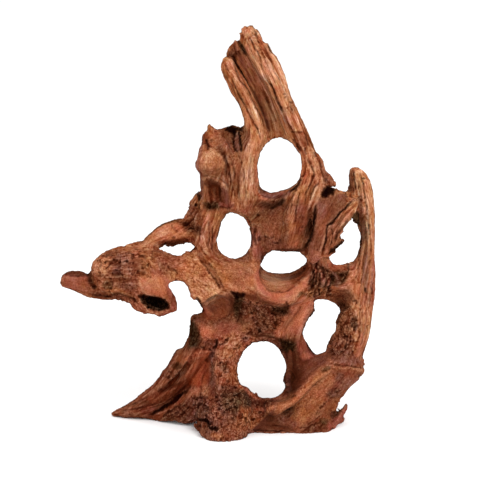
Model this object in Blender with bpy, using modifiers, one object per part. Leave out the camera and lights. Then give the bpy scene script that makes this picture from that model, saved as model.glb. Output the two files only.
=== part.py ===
# Porous aquarium driftwood: an eroded root that stands on its broad foot.
#
# Places are drawn as the front view shows them, in millimetres: ACROSS from the middle line, UP from the
# front of the foot, and DEPTH behind the middle plane. The function seen() turns that drawing into space.
# Limbs are lofted tubes that follow the grain. They are fused, bored through, pitted and then parted at
# the main forks, so that each stretch between two forks is one solid.

import math

import bmesh
import bpy
import numpy as np
from mathutils import Matrix, Vector, noise

MM = 0.001

# How the front view looks at the piece
VIEW_DROP = math.radians(12.0)
EYE_DISTANCE = 2000.0
PIVOT_HEIGHT = 181.5
PIVOT_UP = 192.0

# Making of the faceted solids
LOFT_SIDES = 20
RINGS_PER_SPAN = 5
CAP_RINGS = 3
CAP_TIP = 0.4
THINNEST = 0.6
BORE_SUBDIVISION = 3
HOLLOW_SIDES = 16
HOLLOW_RINGS = 5
FUSE_VOXEL = 2.4
FUSE_RUBS = 3
FINE_VOXEL = 1.8
FINE_RUBS = 4
GROOVE_VOXEL = 1.0
TRIANGLES = 7750
KERF = 0.4
SHARP_ANGLE = math.radians(50)

# Lumps of the skin: broad ones all over, and finer ones that rough wood raises further
GNARL_HEIGHT = 1.5
GNARL_SIZE = 20.0
ROUGH_FINENESS = 1.8
ROUGH_SHARE = 0.33
ROUGH_OFFSET = (7, 3, 1)

# Limbs: (across, up, depth, half width, half depth) at each station along the grain
SPAR = {
    "right_slab": [
        (0, 411, -8, 7, 11), (5, 398, -9, 11.5, 16), (14, 382, -10, 12, 19), (25, 362, -11, 11, 20),
        (33, 342, -11, 9.5, 20), (41, 322, -11, 10, 20), (48, 306, -10, 10.5, 20),
    ],
    "left_prong": [
        (-22, 378, -8, 8, 10), (-15, 363, -8, 10, 15), (-4, 342, -8, 10, 17), (3.5, 324, -8, 10, 18),
        (7, 307, -8, 12, 20),
    ],
    "channel_wall": [
        (-9, 399, 9, 5, 7), (-13, 390, 9, 11, 11), (-8, 376, 9, 17, 13), (5, 362, 9, 18, 14),
        (14, 342, 9, 17, 14), (22, 322, 9, 16, 15), (26, 307, 8, 16, 16),
    ],
    "top_splinter": [(-5, 398, -4, 4, 5), (-10, 410, -2, 1.8, 2.5)],
    "slab_rib": [
        (3, 402, -20, 4, 6), (14, 380, -25, 4, 7), (27, 352, -26, 4, 7), (38, 325, -26, 4, 7),
        (46, 306, -24, 4, 7),
    ],
    "prong_rib": [
        (-22, 374, -15, 4, 5), (-12, 354, -20, 4, 6), (0, 331, -21, 4, 6), (9, 308, -20, 5, 6),
    ],
}
SHOULDER = {
    "left_stem": [
        (7, 307, -8, 12, 20), (-1, 292, -6, 15, 23), (-6, 272, -5, 16, 26), (-6, 252, -4, 18, 28),
        (-8, 234, -2, 20, 28),
    ],
    "body": [
        (-30, 299, 6, 15, 18), (-33, 288, 4, 17.5, 24), (-32, 272, 2, 17.5, 28), (-31, 252, 4, 17, 28),
        (-33, 233, 4, 19, 28),
    ],
    "cleft_wall": [(-14, 308, 8, 8, 10), (-13, 288, 8, 10, 16)],
    "spike": [(-40, 302, 0, 8, 9), (-41, 319, 0, 3, 4)],
    "rim": [(-37, 306, 8, 4, 8), (-28, 310, 10, 4, 8), (-18, 315, 10, 4, 8), (-8, 312, 8, 5, 10)],
    "knob": [(-43, 289, -15, 9, 11), (-40, 280, -21, 15.5, 15), (-38, 269, -19, 14, 13)],
    "knob_tip": [(-44, 282, -10, 8, 8), (-53, 280, -8, 3, 4)],
    "neck_knots": [(-52, 246, 6, 4.5, 9), (-56, 238, 6, 5, 10), (-57, 228, 4, 7, 12)],
    "column": [
        (-40, 222, 2, 16, 26), (-43, 206, 0, 12, 26), (-44, 190, -4, 13, 26), (-40, 176, -8, 18, 26),
    ],
    "rib_outer": [(-24, 296, -18, 4, 7), (-21, 272, -24, 4, 7), (-19, 246, -26, 4, 7), (-16, 226, -24, 4, 6)],
    "rib_inner": [(2, 300, -22, 4, 7), (-5, 276, -28, 4, 6), (-5, 250, -28, 4, 6), (0, 230, -26, 4, 6)],
}
FLANK = {
    "right_stem": [
        (48, 306, -10, 10.5, 20), (56, 292, -8, 10, 20), (61, 277, -8, 11.5, 22), (60, 257, -12, 15, 24),
        (50, 237, -16, 15, 24), (44, 217, -18, 14, 22), (40, 199, -16, 12, 20),
    ],
    "body": [(24, 240, 2, 34, 28), (34, 222, 2, 36, 30), (38, 208, 2, 31, 30)],
    "brow": [(-2, 246, 0, 12, 24), (22, 242, -6, 8, 24), (46, 252, -8, 12, 24)],
    "tip": [(62, 273, -5, 10, 14), (74, 264, -5, 7.5, 10), (85, 257, -5, 4, 5)],
    "tip_rib": [(80, 260, -12, 4, 6), (70, 249, -24, 4.5, 7), (62, 238, -30, 5, 7), (56, 222, -32, 4, 6)],
    "stem_rib": [(62, 284, -22, 4, 6), (56, 262, -32, 4, 6), (44, 240, -36, 5, 7), (36, 222, -36, 4, 6)],
    "notch_wall": [(74, 246, 8, 8, 14), (86, 246.5, 6, 7, 12), (95, 243, 8, 7, 13), (104, 243, 8, 8, 12)],
    "flap": [
        (87, 245, -29, 15, 6), (82, 234, -33, 18, 6.5), (76, 217, -35, 14.5, 6.5), (70, 202, -35, 11, 6.5),
        (65, 188, -32, 7.5, 7), (63, 183, -28, 5, 6),
    ],
    "flap_root": [(76, 232, -14, 14, 16), (66, 200, -14, 10, 16)],
    "flap_web": [(90, 238, -22, 11, 10), (100, 236, -12, 9, 13), (110, 232, 0, 7, 12)],
    "flap_ridge": [
        (107, 240, -36, 3, 5), (99, 230, -39, 5, 6), (90, 217, -40, 6, 7), (83, 203, -39, 7.5, 7),
        (77, 190, -35, 7, 6),
    ],
    "barb_high": [(88, 212, -36, 4, 4), (93, 214, -36, 2, 2)],
    "barb_middle": [(84, 199, -34, 5, 5), (94, 202, -34, 3, 3)],
    "barb_low": [(78, 190, -32, 4, 4), (84, 192, -32, 2, 2)],
}
HEART = {
    "wall_left": [(2, 204, 2, 9, 26), (4, 186, 0, 8.5, 28), (0, 168, -2, 14, 30)],
    "wall_right": [(66, 200, -2, 11, 26), (68, 182, 0, 11, 26), (66, 166, 0, 14, 26)],
    "tunnel_floor": [
        (-14, 158, -4, 18, 30), (12, 154, -2, 15, 38), (34, 152, -2, 15, 40), (54, 158, 0, 15, 36),
        (68, 168, 0, 15, 28),
    ],
    "tunnel_lip": [(6, 160, -32, 5, 7), (18, 147, -36, 6, 7), (36, 142, -36, 6, 8), (52, 150, -30, 6, 8)],
    "slab_lip": [
        (-62, 149, -33, 4, 6), (-46, 143, -37, 5, 7), (-30, 149, -38, 5, 7), (-18, 150, -38, 5, 8),
        (-6, 142, -37, 5, 8), (6, 137, -36, 5, 7),
    ],
    "knotted_column": [(64, 182, -18, 8, 10), (68, 166, -20, 9, 11), (66, 150, -18, 9, 11)],
    "bridge": [(62, 166, 2, 20, 24), (76, 161, 4, 22, 22), (90, 160, 5, 21, 20), (106, 158, 5, 16, 18)],
    "arm_root": [(12, 160, -4, 16, 30), (-8, 165, -8, 19, 30), (-28, 167, -12, 20, 28)],
    "web": [(-32, 140, 6, 16, 20), (-4, 138, 4, 17, 22), (26, 134, 4, 16, 24), (50, 136, 2, 16, 24)],
    "strut": [
        (66, 143, -8, 9, 18), (57, 131, -14, 10, 17), (48, 119, -17, 11, 16), (42, 106, -16, 13, 18),
        (46, 92, -8, 14, 22), (54, 80, 0, 16, 26),
    ],
}
ARM = {
    "upper_link": [
        (-42, 228, 6, 15, 22), (-60, 214, 8, 13, 18), (-75, 209.5, 8, 13, 16), (-89, 205.5, 6, 10.5, 15),
        (-102, 197, 0, 8, 15), (-118, 190, -8, 8, 16),
    ],
    "limb": [
        (-28, 167, -12, 20, 28), (-46, 166, -16, 24, 25), (-62, 171, -18, 20, 20), (-76, 174, -18, 14, 16),
        (-92, 172, -18, 19, 19), (-108, 171, -20, 23, 22), (-126, 170, -18, 26, 24),
        (-140, 168, -14, 23.5, 22), (-148, 164, -10, 13, 14),
    ],
    "tongue": [(-54, 153, -26, 10, 12), (-42, 152, -28, 12, 11), (-28, 157, -26, 8, 10)],
    "tongue_tip": [(-44, 146, -14, 9, 12), (-40, 136, -8, 10, 14)],
    "stub": [
        (-148, 158, -8, 13, 14), (-163, 158, -6, 11.5, 12), (-176, 161, -3, 11, 11),
        (-184, 161.5, -1, 9.5, 9), (-187, 162, -1, 5, 5),
    ],
    "stub_keel": [(-164, 152, -8, 6, 9), (-148, 149, -12, 7, 11), (-132, 149, -14, 7, 12)],
    "scoop": [
        (-92, 176, -24, 14, 14), (-90, 160, -28, 15, 15), (-86, 146, -28, 12, 14),
        (-79, 136, -24, 6.5, 10),
    ],
    "cup": [
        (-118, 146, -18, 8, 12), (-106, 139.5, -22, 10, 16), (-93, 137.5, -24, 12, 18),
        (-80, 137, -22, 8.5, 14),
    ],
    "lump_tip": [(-138, 181, -26, 11, 11), (-150, 175, -22, 10, 10)],
    "lump_top": [(-112, 184, -26, 9, 10), (-128, 183, -28, 10, 10)],
    "lump_low": [(-132, 160, -30, 10, 9), (-144, 158, -26, 8, 9)],
}
HORN = {
    "blade": [
        (107, 270, 4, 7, 8), (110.5, 258, 5, 12, 12), (112.5, 242, 6, 12.5, 14), (115.5, 222, 8, 9.5, 15),
        (117.5, 203, 8, 7.5, 15), (116.5, 186, 8, 9, 16), (113, 170, 7, 13.5, 17), (110, 152, 5, 16, 19),
        (107, 132, 3, 16.5, 21), (103, 112, 1, 17.5, 23), (98, 96, 1, 18, 26), (93, 80, 2, 21, 30),
    ],
    "hook": [(103, 268, 2, 4, 7), (101.5, 256, 0, 3.5, 7)],
    "rib": [
        (112, 260, -4, 4, 6), (116, 240, -6, 4, 6), (120, 212, -6, 3.5, 6), (120, 180, -7, 4, 7),
        (117, 146, -12, 4, 7), (112, 112, -18, 4, 7),
    ],
    "bark_lump": [(98, 128, -14, 8, 9), (94, 112, -18, 8, 9), (88, 98, -20, 8, 9)],
}
BASE = {
    "shelf": [(-48, 113, -2, 12, 22), (-36, 114, 0, 16, 22), (-12, 120, 2, 20, 24)],
    "shelf_corner": [(-55, 121, -6, 6, 14), (-46, 120, -6, 8, 15)],
    "arch": [(-14, 108, 0, 20, 24), (12, 112, 2, 18, 24), (36, 104, 0, 20, 24)],
    "crotch": [(50, 86, 4, 12, 24), (68, 84, 4, 13, 26), (90, 88, 4, 14, 26)],
    "eye_wall": [
        (44, 96, 16, 12, 20), (44, 76, 18, 13, 22), (38, 58, 18, 14, 22), (24, 40, 16, 14, 24),
        (0, 40, 10, 16, 26), (-12, 56, 4, 14, 26),
    ],
    "right_block": [
        (97, 80, 2, 15, 28), (90, 68, 4, 19, 32), (73, 53, 6, 18, 35), (59, 30, 8, 25, 40),
        (51, 6, 8, 31, 43), (50, -14, 8, 31, 43),
    ],
    "outer_toe": [(72, 18, -6, 12, 24), (74, 4, -6, 12, 27), (74, -14, -6, 12, 27)],
    "sill": [(-6, 20, 0, 18, 32), (20, 18, 6, 22, 40), (48, 14, 8, 20, 42), (72, 10, 8, 15, 38)],
    "crest": [(84, 79, -14, 7, 13), (64, 68, -19, 7.5, 13), (45, 50, -21, 9, 14), (24, 36, -20, 10, 15)],
    "step": [(80, 80, -20, 5, 8), (98, 76, -20, 4.5, 9), (108, 74, -10, 4, 10)],
    "right_spike": [(80, 10, 8, 9, 14), (87, 20, 8, 6, 10), (92.5, 31, 8, 4.5, 6), (97, 39, 8, 3, 3)],
    "burl": [
        (-22, 100, -6, 18, 24), (-26, 84, -8, 16, 25), (-26, 68, -10, 15, 27), (-24, 52, -14, 20, 29),
        (-24, 34, -20, 26, 32), (-26, 16, -24, 27, 34), (-26, 0, -24, 23, 36), (-26, -14, -24, 20, 36),
    ],
    "burl_toe": [
        (-44, 15, -22, 10, 12), (-36, 18, -30, 13, 14), (-30, 4, -42, 12, 20), (-20, 4, -41, 12, 18),
    ],
    "upper_prong": [
        (-51, 103, 0, 13, 22), (-59.5, 85, 4, 16, 24), (-71, 66, 10, 16.5, 22), (-86, 50, 16, 15, 18),
        (-103, 38, 22, 12, 14), (-121, 31.5, 26, 7.5, 10), (-137, 29, 29, 3.5, 5),
    ],
    "lower_prong": [
        (-46, 58, -2, 14, 20), (-58, 42, 3, 13, 18), (-72, 32, 8, 10, 14), (-86, 26, 12, 6, 9),
        (-95, 23, 14, 2.5, 5),
    ],
    "prong_web": [(-62, 44, 12, 14, 14), (-80, 36, 16, 13, 12), (-96, 31, 20, 8, 10), (-112, 27, 23, 3.5, 7)],
    "heel": [(-48, 42, 4, 14, 24), (-58, 30, 8, 10, 20), (-70, 27, 12, 5, 14)],
    "hollow_back": [(-44, 92, 6, 14, 22), (-46, 68, 6, 14, 22), (-46, 46, 4, 14, 24)],
}
LIMB_GROUPS = (SPAR, SHOULDER, FLANK, HEART, ARM, HORN, BASE)

# Splits and furrows cut along the grain, stated as the limbs are
GROOVES = {
    "prong_split": [
        (-18, 385, -24, 2, 6), (-10, 370, -24, 2.6, 9), (0, 352, -24, 2.6, 10), (9, 333, -24, 2.4, 9),
        (18, 311, -24, 2, 6),
    ],
    "slab_split": [
        (10, 374, -32, 1.6, 5), (20, 350, -33, 2.4, 8), (28, 332, -33, 2.4, 8), (34, 318, -32, 1.6, 5),
    ],
    "prong_furrow": [
        (-24, 368, -22, 1.6, 4), (-12, 348, -26, 2, 6), (0, 328, -26, 2, 6), (11, 303, -26, 1.6, 4),
    ],
    "wall_furrow_left": [
        (-12, 392, 24, 2, 5), (0, 366, 24, 2.6, 7), (12, 340, 24, 2.6, 7), (24, 308, 24, 2, 5),
    ],
    "wall_furrow_right": [
        (10, 396, 14, 2, 5), (26, 362, 12, 2.6, 7), (42, 325, 12, 2.6, 7), (56, 296, 10, 2, 5),
    ],
    "stem_furrow": [
        (-14, 296, -28, 2, 5), (-14, 280, -30, 2.4, 7), (-13, 250, -32, 2.4, 7), (-8, 232, -30, 2, 5),
    ],
    "stem_back": [(-20, 300, 30, 2, 6), (-20, 270, 33, 2.6, 7), (-22, 240, 33, 2.6, 7)],
    "flank_furrow": [
        (52, 300, -30, 1.8, 5), (60, 276, -34, 2.2, 7), (50, 248, -42, 2.4, 8), (40, 224, -44, 2, 6),
    ],
    "flank_back": [(50, 290, 22, 2, 6), (46, 262, 30, 2.6, 8), (30, 236, 33, 2.6, 8), (10, 220, 32, 2, 6)],
    "flap_split": [
        (103, 238, -42, 1.6, 6), (91, 224, -44, 2, 8), (79, 210, -43, 2, 8), (74, 193, -42, 1.6, 6),
    ],
    "arm_furrow": [(-50, 181, -44, 1.8, 5), (-38, 170, -48, 2.4, 8), (-25, 153, -46, 2, 6)],
    "arm_back": [(-10, 176, 24, 2, 6), (-40, 178, 16, 2.6, 8), (-70, 178, 2, 2.4, 6), (-110, 178, 4, 2, 6)],
    "heart_back": [(60, 158, 40, 2, 6), (24, 152, 42, 2.6, 8), (-20, 160, 30, 2.6, 8)],
    "horn_furrow": [
        (108, 262, -8, 1.6, 5), (112, 236, -10, 2, 6), (114, 206, -9, 1.8, 5), (111, 172, -11, 2, 6),
        (108, 140, -18, 2, 6),
    ],
    "horn_back": [
        (112, 254, 18, 1.8, 5), (116, 214, 24, 2, 6), (112, 160, 27, 2.4, 7), (102, 110, 26, 2.4, 7),
    ],
    "prong_long": [(-50, 96, -22, 2, 6), (-66, 72, -14, 2.6, 8), (-86, 52, -4, 2.4, 7), (-108, 37, 8, 2, 5)],
    "prong_gap": [(-52, 70, -22, 2.4, 8), (-70, 46, -10, 3, 10), (-90, 34, 0, 2.4, 8), (-110, 27, 12, 2, 6)],
    "prong_back": [(-50, 96, 28, 2, 6), (-68, 70, 34, 2.6, 8), (-92, 50, 36, 2.4, 7), (-118, 35, 36, 2, 5)],
    "block_furrow": [(106, 78, -26, 2, 5), (90, 58, -32, 2.4, 6), (72, 34, -36, 2.4, 6), (62, 14, -38, 2, 5)],
    "block_back": [(96, 92, 28, 2, 6), (84, 60, 40, 2.6, 7), (66, 30, 48, 2.6, 7), (60, 8, 52, 2.4, 6)],
    "burl_back": [(-28, 100, 18, 2, 6), (-30, 60, 20, 2.6, 8), (-28, 20, 16, 2.6, 8)],
}

# Rough wood, (across, up, depth), the radius it covers and how high its lumps stand
ROUGH = [
    ((-28, 30, -40), 38, 6.4), ((-24, 70, -30), 26, 5.2), ((6, 128, -18), 34, 4.4),
    ((-128, 170, -30), 32, 4.8), ((70, 165, -24), 20, 4.4), ((96, 120, -16), 26, 4.0),
    ((-48, 236, 0), 22, 4.8), ((40, 20, -34), 26, 2.4),
]

# Holes that go right through: the outline that stays open to the eye, then (depth, growth, shift across,
# shift up) from front to back
HOLES = {
    "top_eye": (
        [
            (8, 277), (9, 264), (12, 254), (20, 250), (28, 251), (38, 254), (46, 259), (50, 266), (51, 277),
            (49, 288), (42, 298), (35, 303), (28, 304), (20, 301), (13, 294),
        ],
        [(-70, 1.3, 0, 2), (-24, 1.09, 0, 1), (0, 1.0, 0, 0), (24, 1.07, 0, 2), (70, 1.3, 0, 4)],
    ),
    "left_eye": (
        [
            (-33, 202), (-31, 212), (-28, 221), (-22, 228), (-12, 228), (-4, 224), (0, 216), (2, 205),
            (1, 195), (-5, 187), (-14, 184), (-21, 184), (-28, 189), (-32, 195),
        ],
        [(-70, 1.35, 0, 0), (-24, 1.1, 0, 0), (0, 0.99, 0, 0), (26, 1.08, 0, 0), (70, 1.3, 0, 2)],
    ),
    "right_eye": (
        [
            (99, 219), (104, 215), (107, 207), (106, 196), (102, 188.5), (96.5, 182), (91, 178), (86, 177),
            (80, 181), (79, 190), (83, 200), (87, 210), (92, 217),
        ],
        [(-27, 1.02, 0, 0), (-10, 1.0, 0, 0), (6, 0.98, 0, 0), (30, 1.04, 0, 0), (70, 1.15, 0, 0)],
    ),
    "left_slit": (
        [
            (-87, 192), (-83, 193.5), (-75, 195), (-67, 197.5), (-61, 197.5), (-57, 194.5), (-61, 192),
            (-66, 190), (-70, 187.5), (-78, 188.5), (-83, 190.5),
        ],
        [(-60, 1.3, 0, 0), (-16, 1.02, 0, 0), (4, 0.98, 0, 0), (30, 1.1, 0, 2), (60, 1.3, 0, 5)],
    ),
    "tunnel_floor_bore": (
        [
            (10, 178), (14, 184), (22, 189), (34, 190), (47, 189), (53, 185), (56, 181), (52, 176),
            (46, 172), (40, 170), (27, 170), (18, 172),
        ],
        [
            (-70, 1.25, -1, -17), (-40, 1.08, -1, -13), (-14, 1.04, 0, -7), (24, 0.99, 0, 0),
            (40, 1.04, 0, 1), (70, 1.2, 0, 3),
        ],
    ),
    "tunnel_sky": (
        [
            (11, 178), (14, 185), (22, 191), (34, 191.5), (47, 191), (53, 187), (56, 182), (50, 175),
            (40, 171), (27, 171), (18, 173),
        ],
        [(-70, 1.2, 0, 0), (-14, 1.04, 0, 0), (14, 0.99, 0, 0), (30, 0.8, 0, 0)],
    ),
    "horn_eye": (
        [
            (65, 140), (72, 141), (80, 137), (84, 134), (86.5, 130), (85, 122), (83.5, 112), (79.5, 106),
            (76.5, 98), (73, 90), (66, 89), (60, 95), (56, 102), (54, 111), (56, 119), (61, 126), (65, 134),
        ],
        [(-60, 1.25, 0, 0), (-22, 1.06, 0, 0), (2, 0.99, 0, 0), (26, 1.08, 0, 0), (60, 1.25, 0, 0)],
    ),
    "foot_eye": (
        [
            (-12, 72), (-10, 82), (-6, 91), (2, 98), (12, 100), (21, 99), (28, 94), (33, 86), (35, 75),
            (33, 63), (34, 56), (32, 49), (25, 44), (12, 44), (5, 47), (-2, 51), (-8, 56), (-11.5, 64),
        ],
        [(-80, 1.45, 16, 0), (-30, 1.17, 9, 0), (4, 1.01, 0, 0), (26, 1.03, -1, 0), (80, 1.25, 0, 2)],
    ),
    "under_arm_bay": (
        [
            (-81, 155), (-79, 159), (-72, 160), (-66, 158), (-62, 152), (-60, 145), (-54, 141), (-47, 132),
            (-57, 129.5), (-67, 122), (-72, 130), (-72, 140), (-76, 149),
        ],
        [(-70, 1.1, 0, 0), (-20, 1.0, 0, 0), (10, 0.98, 0, 0), (60, 1.15, 0, 0)],
    ),
}

# Blind hollows: (across, up, half width, half height, turn in degrees, front depth, back depth)
HOLLOWS = {
    "cup_mouth": (-94, 139.5, 14, 6, -18, -70, -14),
    "under_brow": (14, 236, 17, 7, 10, -60, -19),
    "under_knob": (-36, 249, 9, 11, 0, -60, -14),
    "shoulder_cleft": (-13, 301, 4.5, 8, 4, -60, -17),
    "under_tip": (77, 250, 5, 3, 20, -60, -18),
    "crack_beside_flap": (60, 219, 2.5, 22, -6, -70, -24),
    "under_arm": (-32, 136, 14, 11, 0, -60, -12),
    "under_lip": (-1, 135, 17, 4.5, -14, -60, -18),
    "red_hollow": (-46, 72, 9, 20, -20, -60, -15),
    "burl_cavity": (-42, 20, 6, 4, 0, -90, -38),
    "beside_strut": (36, 96, 6, 4, 0, -60, -18),
    "spar_channel": (13, 352, 6, 40, 25, -60, -5),
    "shelf_side": (-57, 108, 4, 13, 6, -60, -10),
}

# Saw cuts at the forks: both ends as (across, up), then the nearest and furthest depth
KERFS = {
    "spar_left_leg": ((-13, 324), (22, 291), -60, 60),
    "spar_right_leg": ((36, 291), (74, 305), -60, 60),
    "shoulder_to_flank": ((18, 262), (-14, 212), -60, 60),
    "shoulder_to_heart": ((-66, 194), (-20, 200), -60, 60),
    "flank_to_heart_left": ((-12, 202), (22, 184), -60, 60),
    "flank_to_heart_right": ((43, 174.5), (92, 183), -70, 60),
    "arm": ((-72, 232), (-72, 152), -70, 60),
    "horn_top": ((98.5, 264), (98.5, 206), -60, 60),
    "horn_bridge": ((97, 190), (84, 126), -60, 60),
    "horn_foot": ((66, 98), (128, 93), -70, 60),
    "heart_to_base": ((-56, 129.5), (68, 127), -70, 60),
    "splinter_root": ((-42, 134), (-42, -30), -90, 90),
    "right_foot_top": ((22, 86), (64, 103), -70, 70),
    "right_foot_sill": ((14, 56), (14, -30), -90, 90),
}

# A point inside each solid, as (across, up, depth), and the solid's colour
NODES = {
    "split_spar": ((30, 350, -10), (0.36, 0.17, 0.08)),
    "knobbed_shoulder": ((-32, 268, 0), (0.33, 0.15, 0.075)),
    "flank_and_flap": ((36, 220, 0), (0.28, 0.12, 0.06)),
    "heart": ((30, 152, 0), (0.30, 0.11, 0.06)),
    "left_arm": ((-126, 169, -18), (0.29, 0.13, 0.06)),
    "horn": ((116, 190, 8), (0.31, 0.12, 0.06)),
    "burl_foot": ((-22, 60, -12), (0.24, 0.10, 0.055)),
    "splinter_root": ((-74, 66, 10), (0.25, 0.09, 0.045)),
    "right_foot": ((70, 40, 6), (0.27, 0.11, 0.055)),
}
WOOD_ROUGHNESS = 0.75


def seen(across, up, depth):
    """The point that the front view shows there, at that depth behind the middle plane, in metres."""
    cos_drop, sin_drop = math.cos(VIEW_DROP), math.sin(VIEW_DROP)
    rise = up - PIVOT_UP
    reach = (depth + EYE_DISTANCE * cos_drop) / (EYE_DISTANCE * cos_drop + rise * sin_drop)
    height = PIVOT_HEIGHT + EYE_DISTANCE * sin_drop + reach * (rise * cos_drop - EYE_DISTANCE * sin_drop)
    return Vector((reach * across, depth, height)) * MM


def smooth_path(stations, per_span):
    """The stations with points between them on a Catmull-Rom curve, each row blended alike."""
    rows = np.array(stations, float)
    ends = np.vstack([2 * rows[0] - rows[1], rows, 2 * rows[-1] - rows[-2]])
    made = []
    for i in range(1, len(ends) - 2):
        a, b, c, d = ends[i - 1 : i + 3]
        for t in np.arange(per_span) / per_span:
            bend = (2 * a - 5 * b + 4 * c - d) * t**2 + (3 * b - a - 3 * c + d) * t**3
            made.append(0.5 * (2 * b + (c - a) * t + bend))
    made.append(rows[-1])
    return np.array(made)


def object_from(name, bm, collection):
    mesh = bpy.data.meshes.new(name)
    bm.normal_update()
    bm.to_mesh(mesh)
    bm.free()
    made = bpy.data.objects.new(name, mesh)
    collection.objects.link(made)
    return made


def loft(name, rings, collection):
    """A closed skin over rings of the same number of points, each end closed by one face."""
    bm = bmesh.new()
    loops = [[bm.verts.new(p) for p in ring] for ring in rings]
    count = len(rings[0])
    for near, far in zip(loops, loops[1:]):
        for i in range(count):
            j = (i + 1) % count
            bm.faces.new((near[i], near[j], far[j], far[i]))
    bm.faces.new(loops[0][::-1])
    bm.faces.new(loops[-1])
    bmesh.ops.recalc_face_normals(bm, faces=bm.faces)
    return object_from(name, bm, collection)


def cap_steps(half_width, half_depth):
    """(distance past the end, size) of the rings that round off a limb, in metres and as a share."""
    turns = [math.pi / 2 * k / (CAP_RINGS + CAP_TIP) for k in range(1, CAP_RINGS + 1)]
    return [(min(half_width, half_depth) * math.sin(t), math.cos(t)) for t in turns]


def limb(name, stations, collection):
    """A tube of oval section along the stations, with rounded ends."""
    path = smooth_path(stations, RINGS_PER_SPAN)
    centres = [seen(*row[:3]) for row in path]
    angles = np.linspace(0, 2 * math.pi, LOFT_SIDES, endpoint=False)
    deep = Vector((0, 1, 0))
    rings = []
    for i, row in enumerate(path):
        along = (centres[min(i + 1, len(path) - 1)] - centres[max(i - 1, 0)]).normalized()
        side = along.cross(deep).normalized()
        back = side.cross(along)
        half_width = max(row[3], THINNEST) * MM
        half_depth = max(row[4], THINNEST) * MM
        steps = [(0.0, 1.0)]
        if i == 0:
            steps = [(-d, s) for d, s in reversed(cap_steps(half_width, half_depth))] + steps
        if i == len(path) - 1:
            steps = steps + cap_steps(half_width, half_depth)
        for shift, size in steps:
            middle = centres[i] + along * shift
            wide, deep_in = side * half_width * size, back * half_depth * size
            rings.append([middle + wide * math.cos(a) + deep_in * math.sin(a) for a in angles])
    return loft(name, rings, collection)


def bore(name, outline, stations, collection):
    """A cutter through the piece along the line of sight, wider at its mouths."""
    overlap = 3
    closed = np.array(outline + outline[:overlap], float)
    points = smooth_path(closed, BORE_SUBDIVISION)[overlap : overlap + BORE_SUBDIVISION * len(outline)]
    centre = points.mean(0)
    rings = []
    for depth, growth, right, rise in smooth_path(stations, BORE_SUBDIVISION):
        grown = centre + (points - centre) * growth + (right, rise)
        rings.append([seen(x, y, depth) for x, y in grown])
    return loft(name, rings, collection)


def hollow(name, across, up, half_width, half_height, turn, front, back, collection):
    """A cutter for a blind pit: a straight mouth at the front and a rounded bottom."""
    angles = np.linspace(0, 2 * math.pi, HOLLOW_SIDES, endpoint=False)
    tilt = math.radians(turn)
    rings = [(front, 1.0)]
    for t in np.linspace(0.1, 0.95, HOLLOW_RINGS) * math.pi / 2:
        rings.append((front + (back - front) * (0.5 + 0.5 * math.sin(t)), math.cos(t)))
    made = []
    for depth, size in rings:
        ring = []
        for a in angles:
            x, y = half_width * size * math.cos(a), half_height * size * math.sin(a)
            right = x * math.cos(tilt) - y * math.sin(tilt)
            rise = x * math.sin(tilt) + y * math.cos(tilt)
            ring.append(seen(across + right, up + rise, depth))
        made.append(ring)
    return loft(name, made, collection)


def kerf(name, start, end, near, far, collection):
    """A saw cut along the line of sight, as a thin plate."""
    middle_depth = (near + far) / 2
    a, b = seen(*start, middle_depth), seen(*end, middle_depth)
    along = (b - a).normalized()
    sight = (seen(*start, far) - seen(*start, near)).normalized()
    normal = along.cross(sight).normalized()
    frame = Matrix((along, sight, normal)).transposed().to_4x4()
    frame.translation = (a + b) / 2
    bm = bmesh.new()
    bmesh.ops.create_cube(bm, size=1.0)
    bmesh.ops.scale(bm, vec=((b - a).length, (far - near) * MM, KERF * MM), verts=bm.verts)
    bm.transform(frame)
    return object_from(name, bm, collection)


def floor_block(collection):
    """A cutter that takes off all that lies under the floor."""
    bm = bmesh.new()
    bmesh.ops.create_cube(bm, size=1.0)
    bmesh.ops.translate(bm, verts=bm.verts, vec=(0, 0, -0.5))
    return object_from("floor_block", bm, collection)


def apply_modifier(target, kind, **settings):
    """Adds a modifier, sets it and turns its result into the object's mesh."""
    modifier = target.modifiers.new(kind.title(), kind)
    for key, value in settings.items():
        setattr(modifier, key, value)
    graph = bpy.context.evaluated_depsgraph_get()
    mesh = bpy.data.meshes.new_from_object(target.evaluated_get(graph))
    target.modifiers.clear()
    target.data = mesh


def remesh(target, voxel, smoothing):
    """One even skin over all the shells, with its edges rubbed round."""
    apply_modifier(target, "REMESH", mode="VOXEL", voxel_size=voxel * MM)
    if smoothing:
        apply_modifier(target, "SMOOTH", factor=0.5, iterations=smoothing)


def cut(target, cutter):
    apply_modifier(target, "BOOLEAN", operation="DIFFERENCE", object=cutter)


def joined(name, pieces, collection):
    """One object from many overlapping shells."""
    bm = bmesh.new()
    for piece in pieces:
        bm.from_mesh(piece.data)
        bpy.data.objects.remove(piece)
    return object_from(name, bm, collection)


def gnarl(target):
    """Moves the skin in and out in lumps, which stand higher where the wood is rough."""
    rough = [(seen(*place), radius * MM, height) for place, radius, height in ROUGH]
    vertices = target.data.vertices
    moved = []
    for vertex in vertices:
        place = vertex.co / (GNARL_SIZE * MM)
        lump = noise.noise(place * ROUGH_FINENESS + Vector(ROUGH_OFFSET))
        height = GNARL_HEIGHT * (noise.noise(place) + ROUGH_SHARE * lump)
        for centre, radius, extra in rough:
            share = max(1 - (vertex.co - centre).length_squared / radius**2, 0)
            height += extra * lump * share
        moved.append(vertex.co + vertex.normal * height * MM)
    for vertex, place in zip(vertices, moved):
        vertex.co = place


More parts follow.
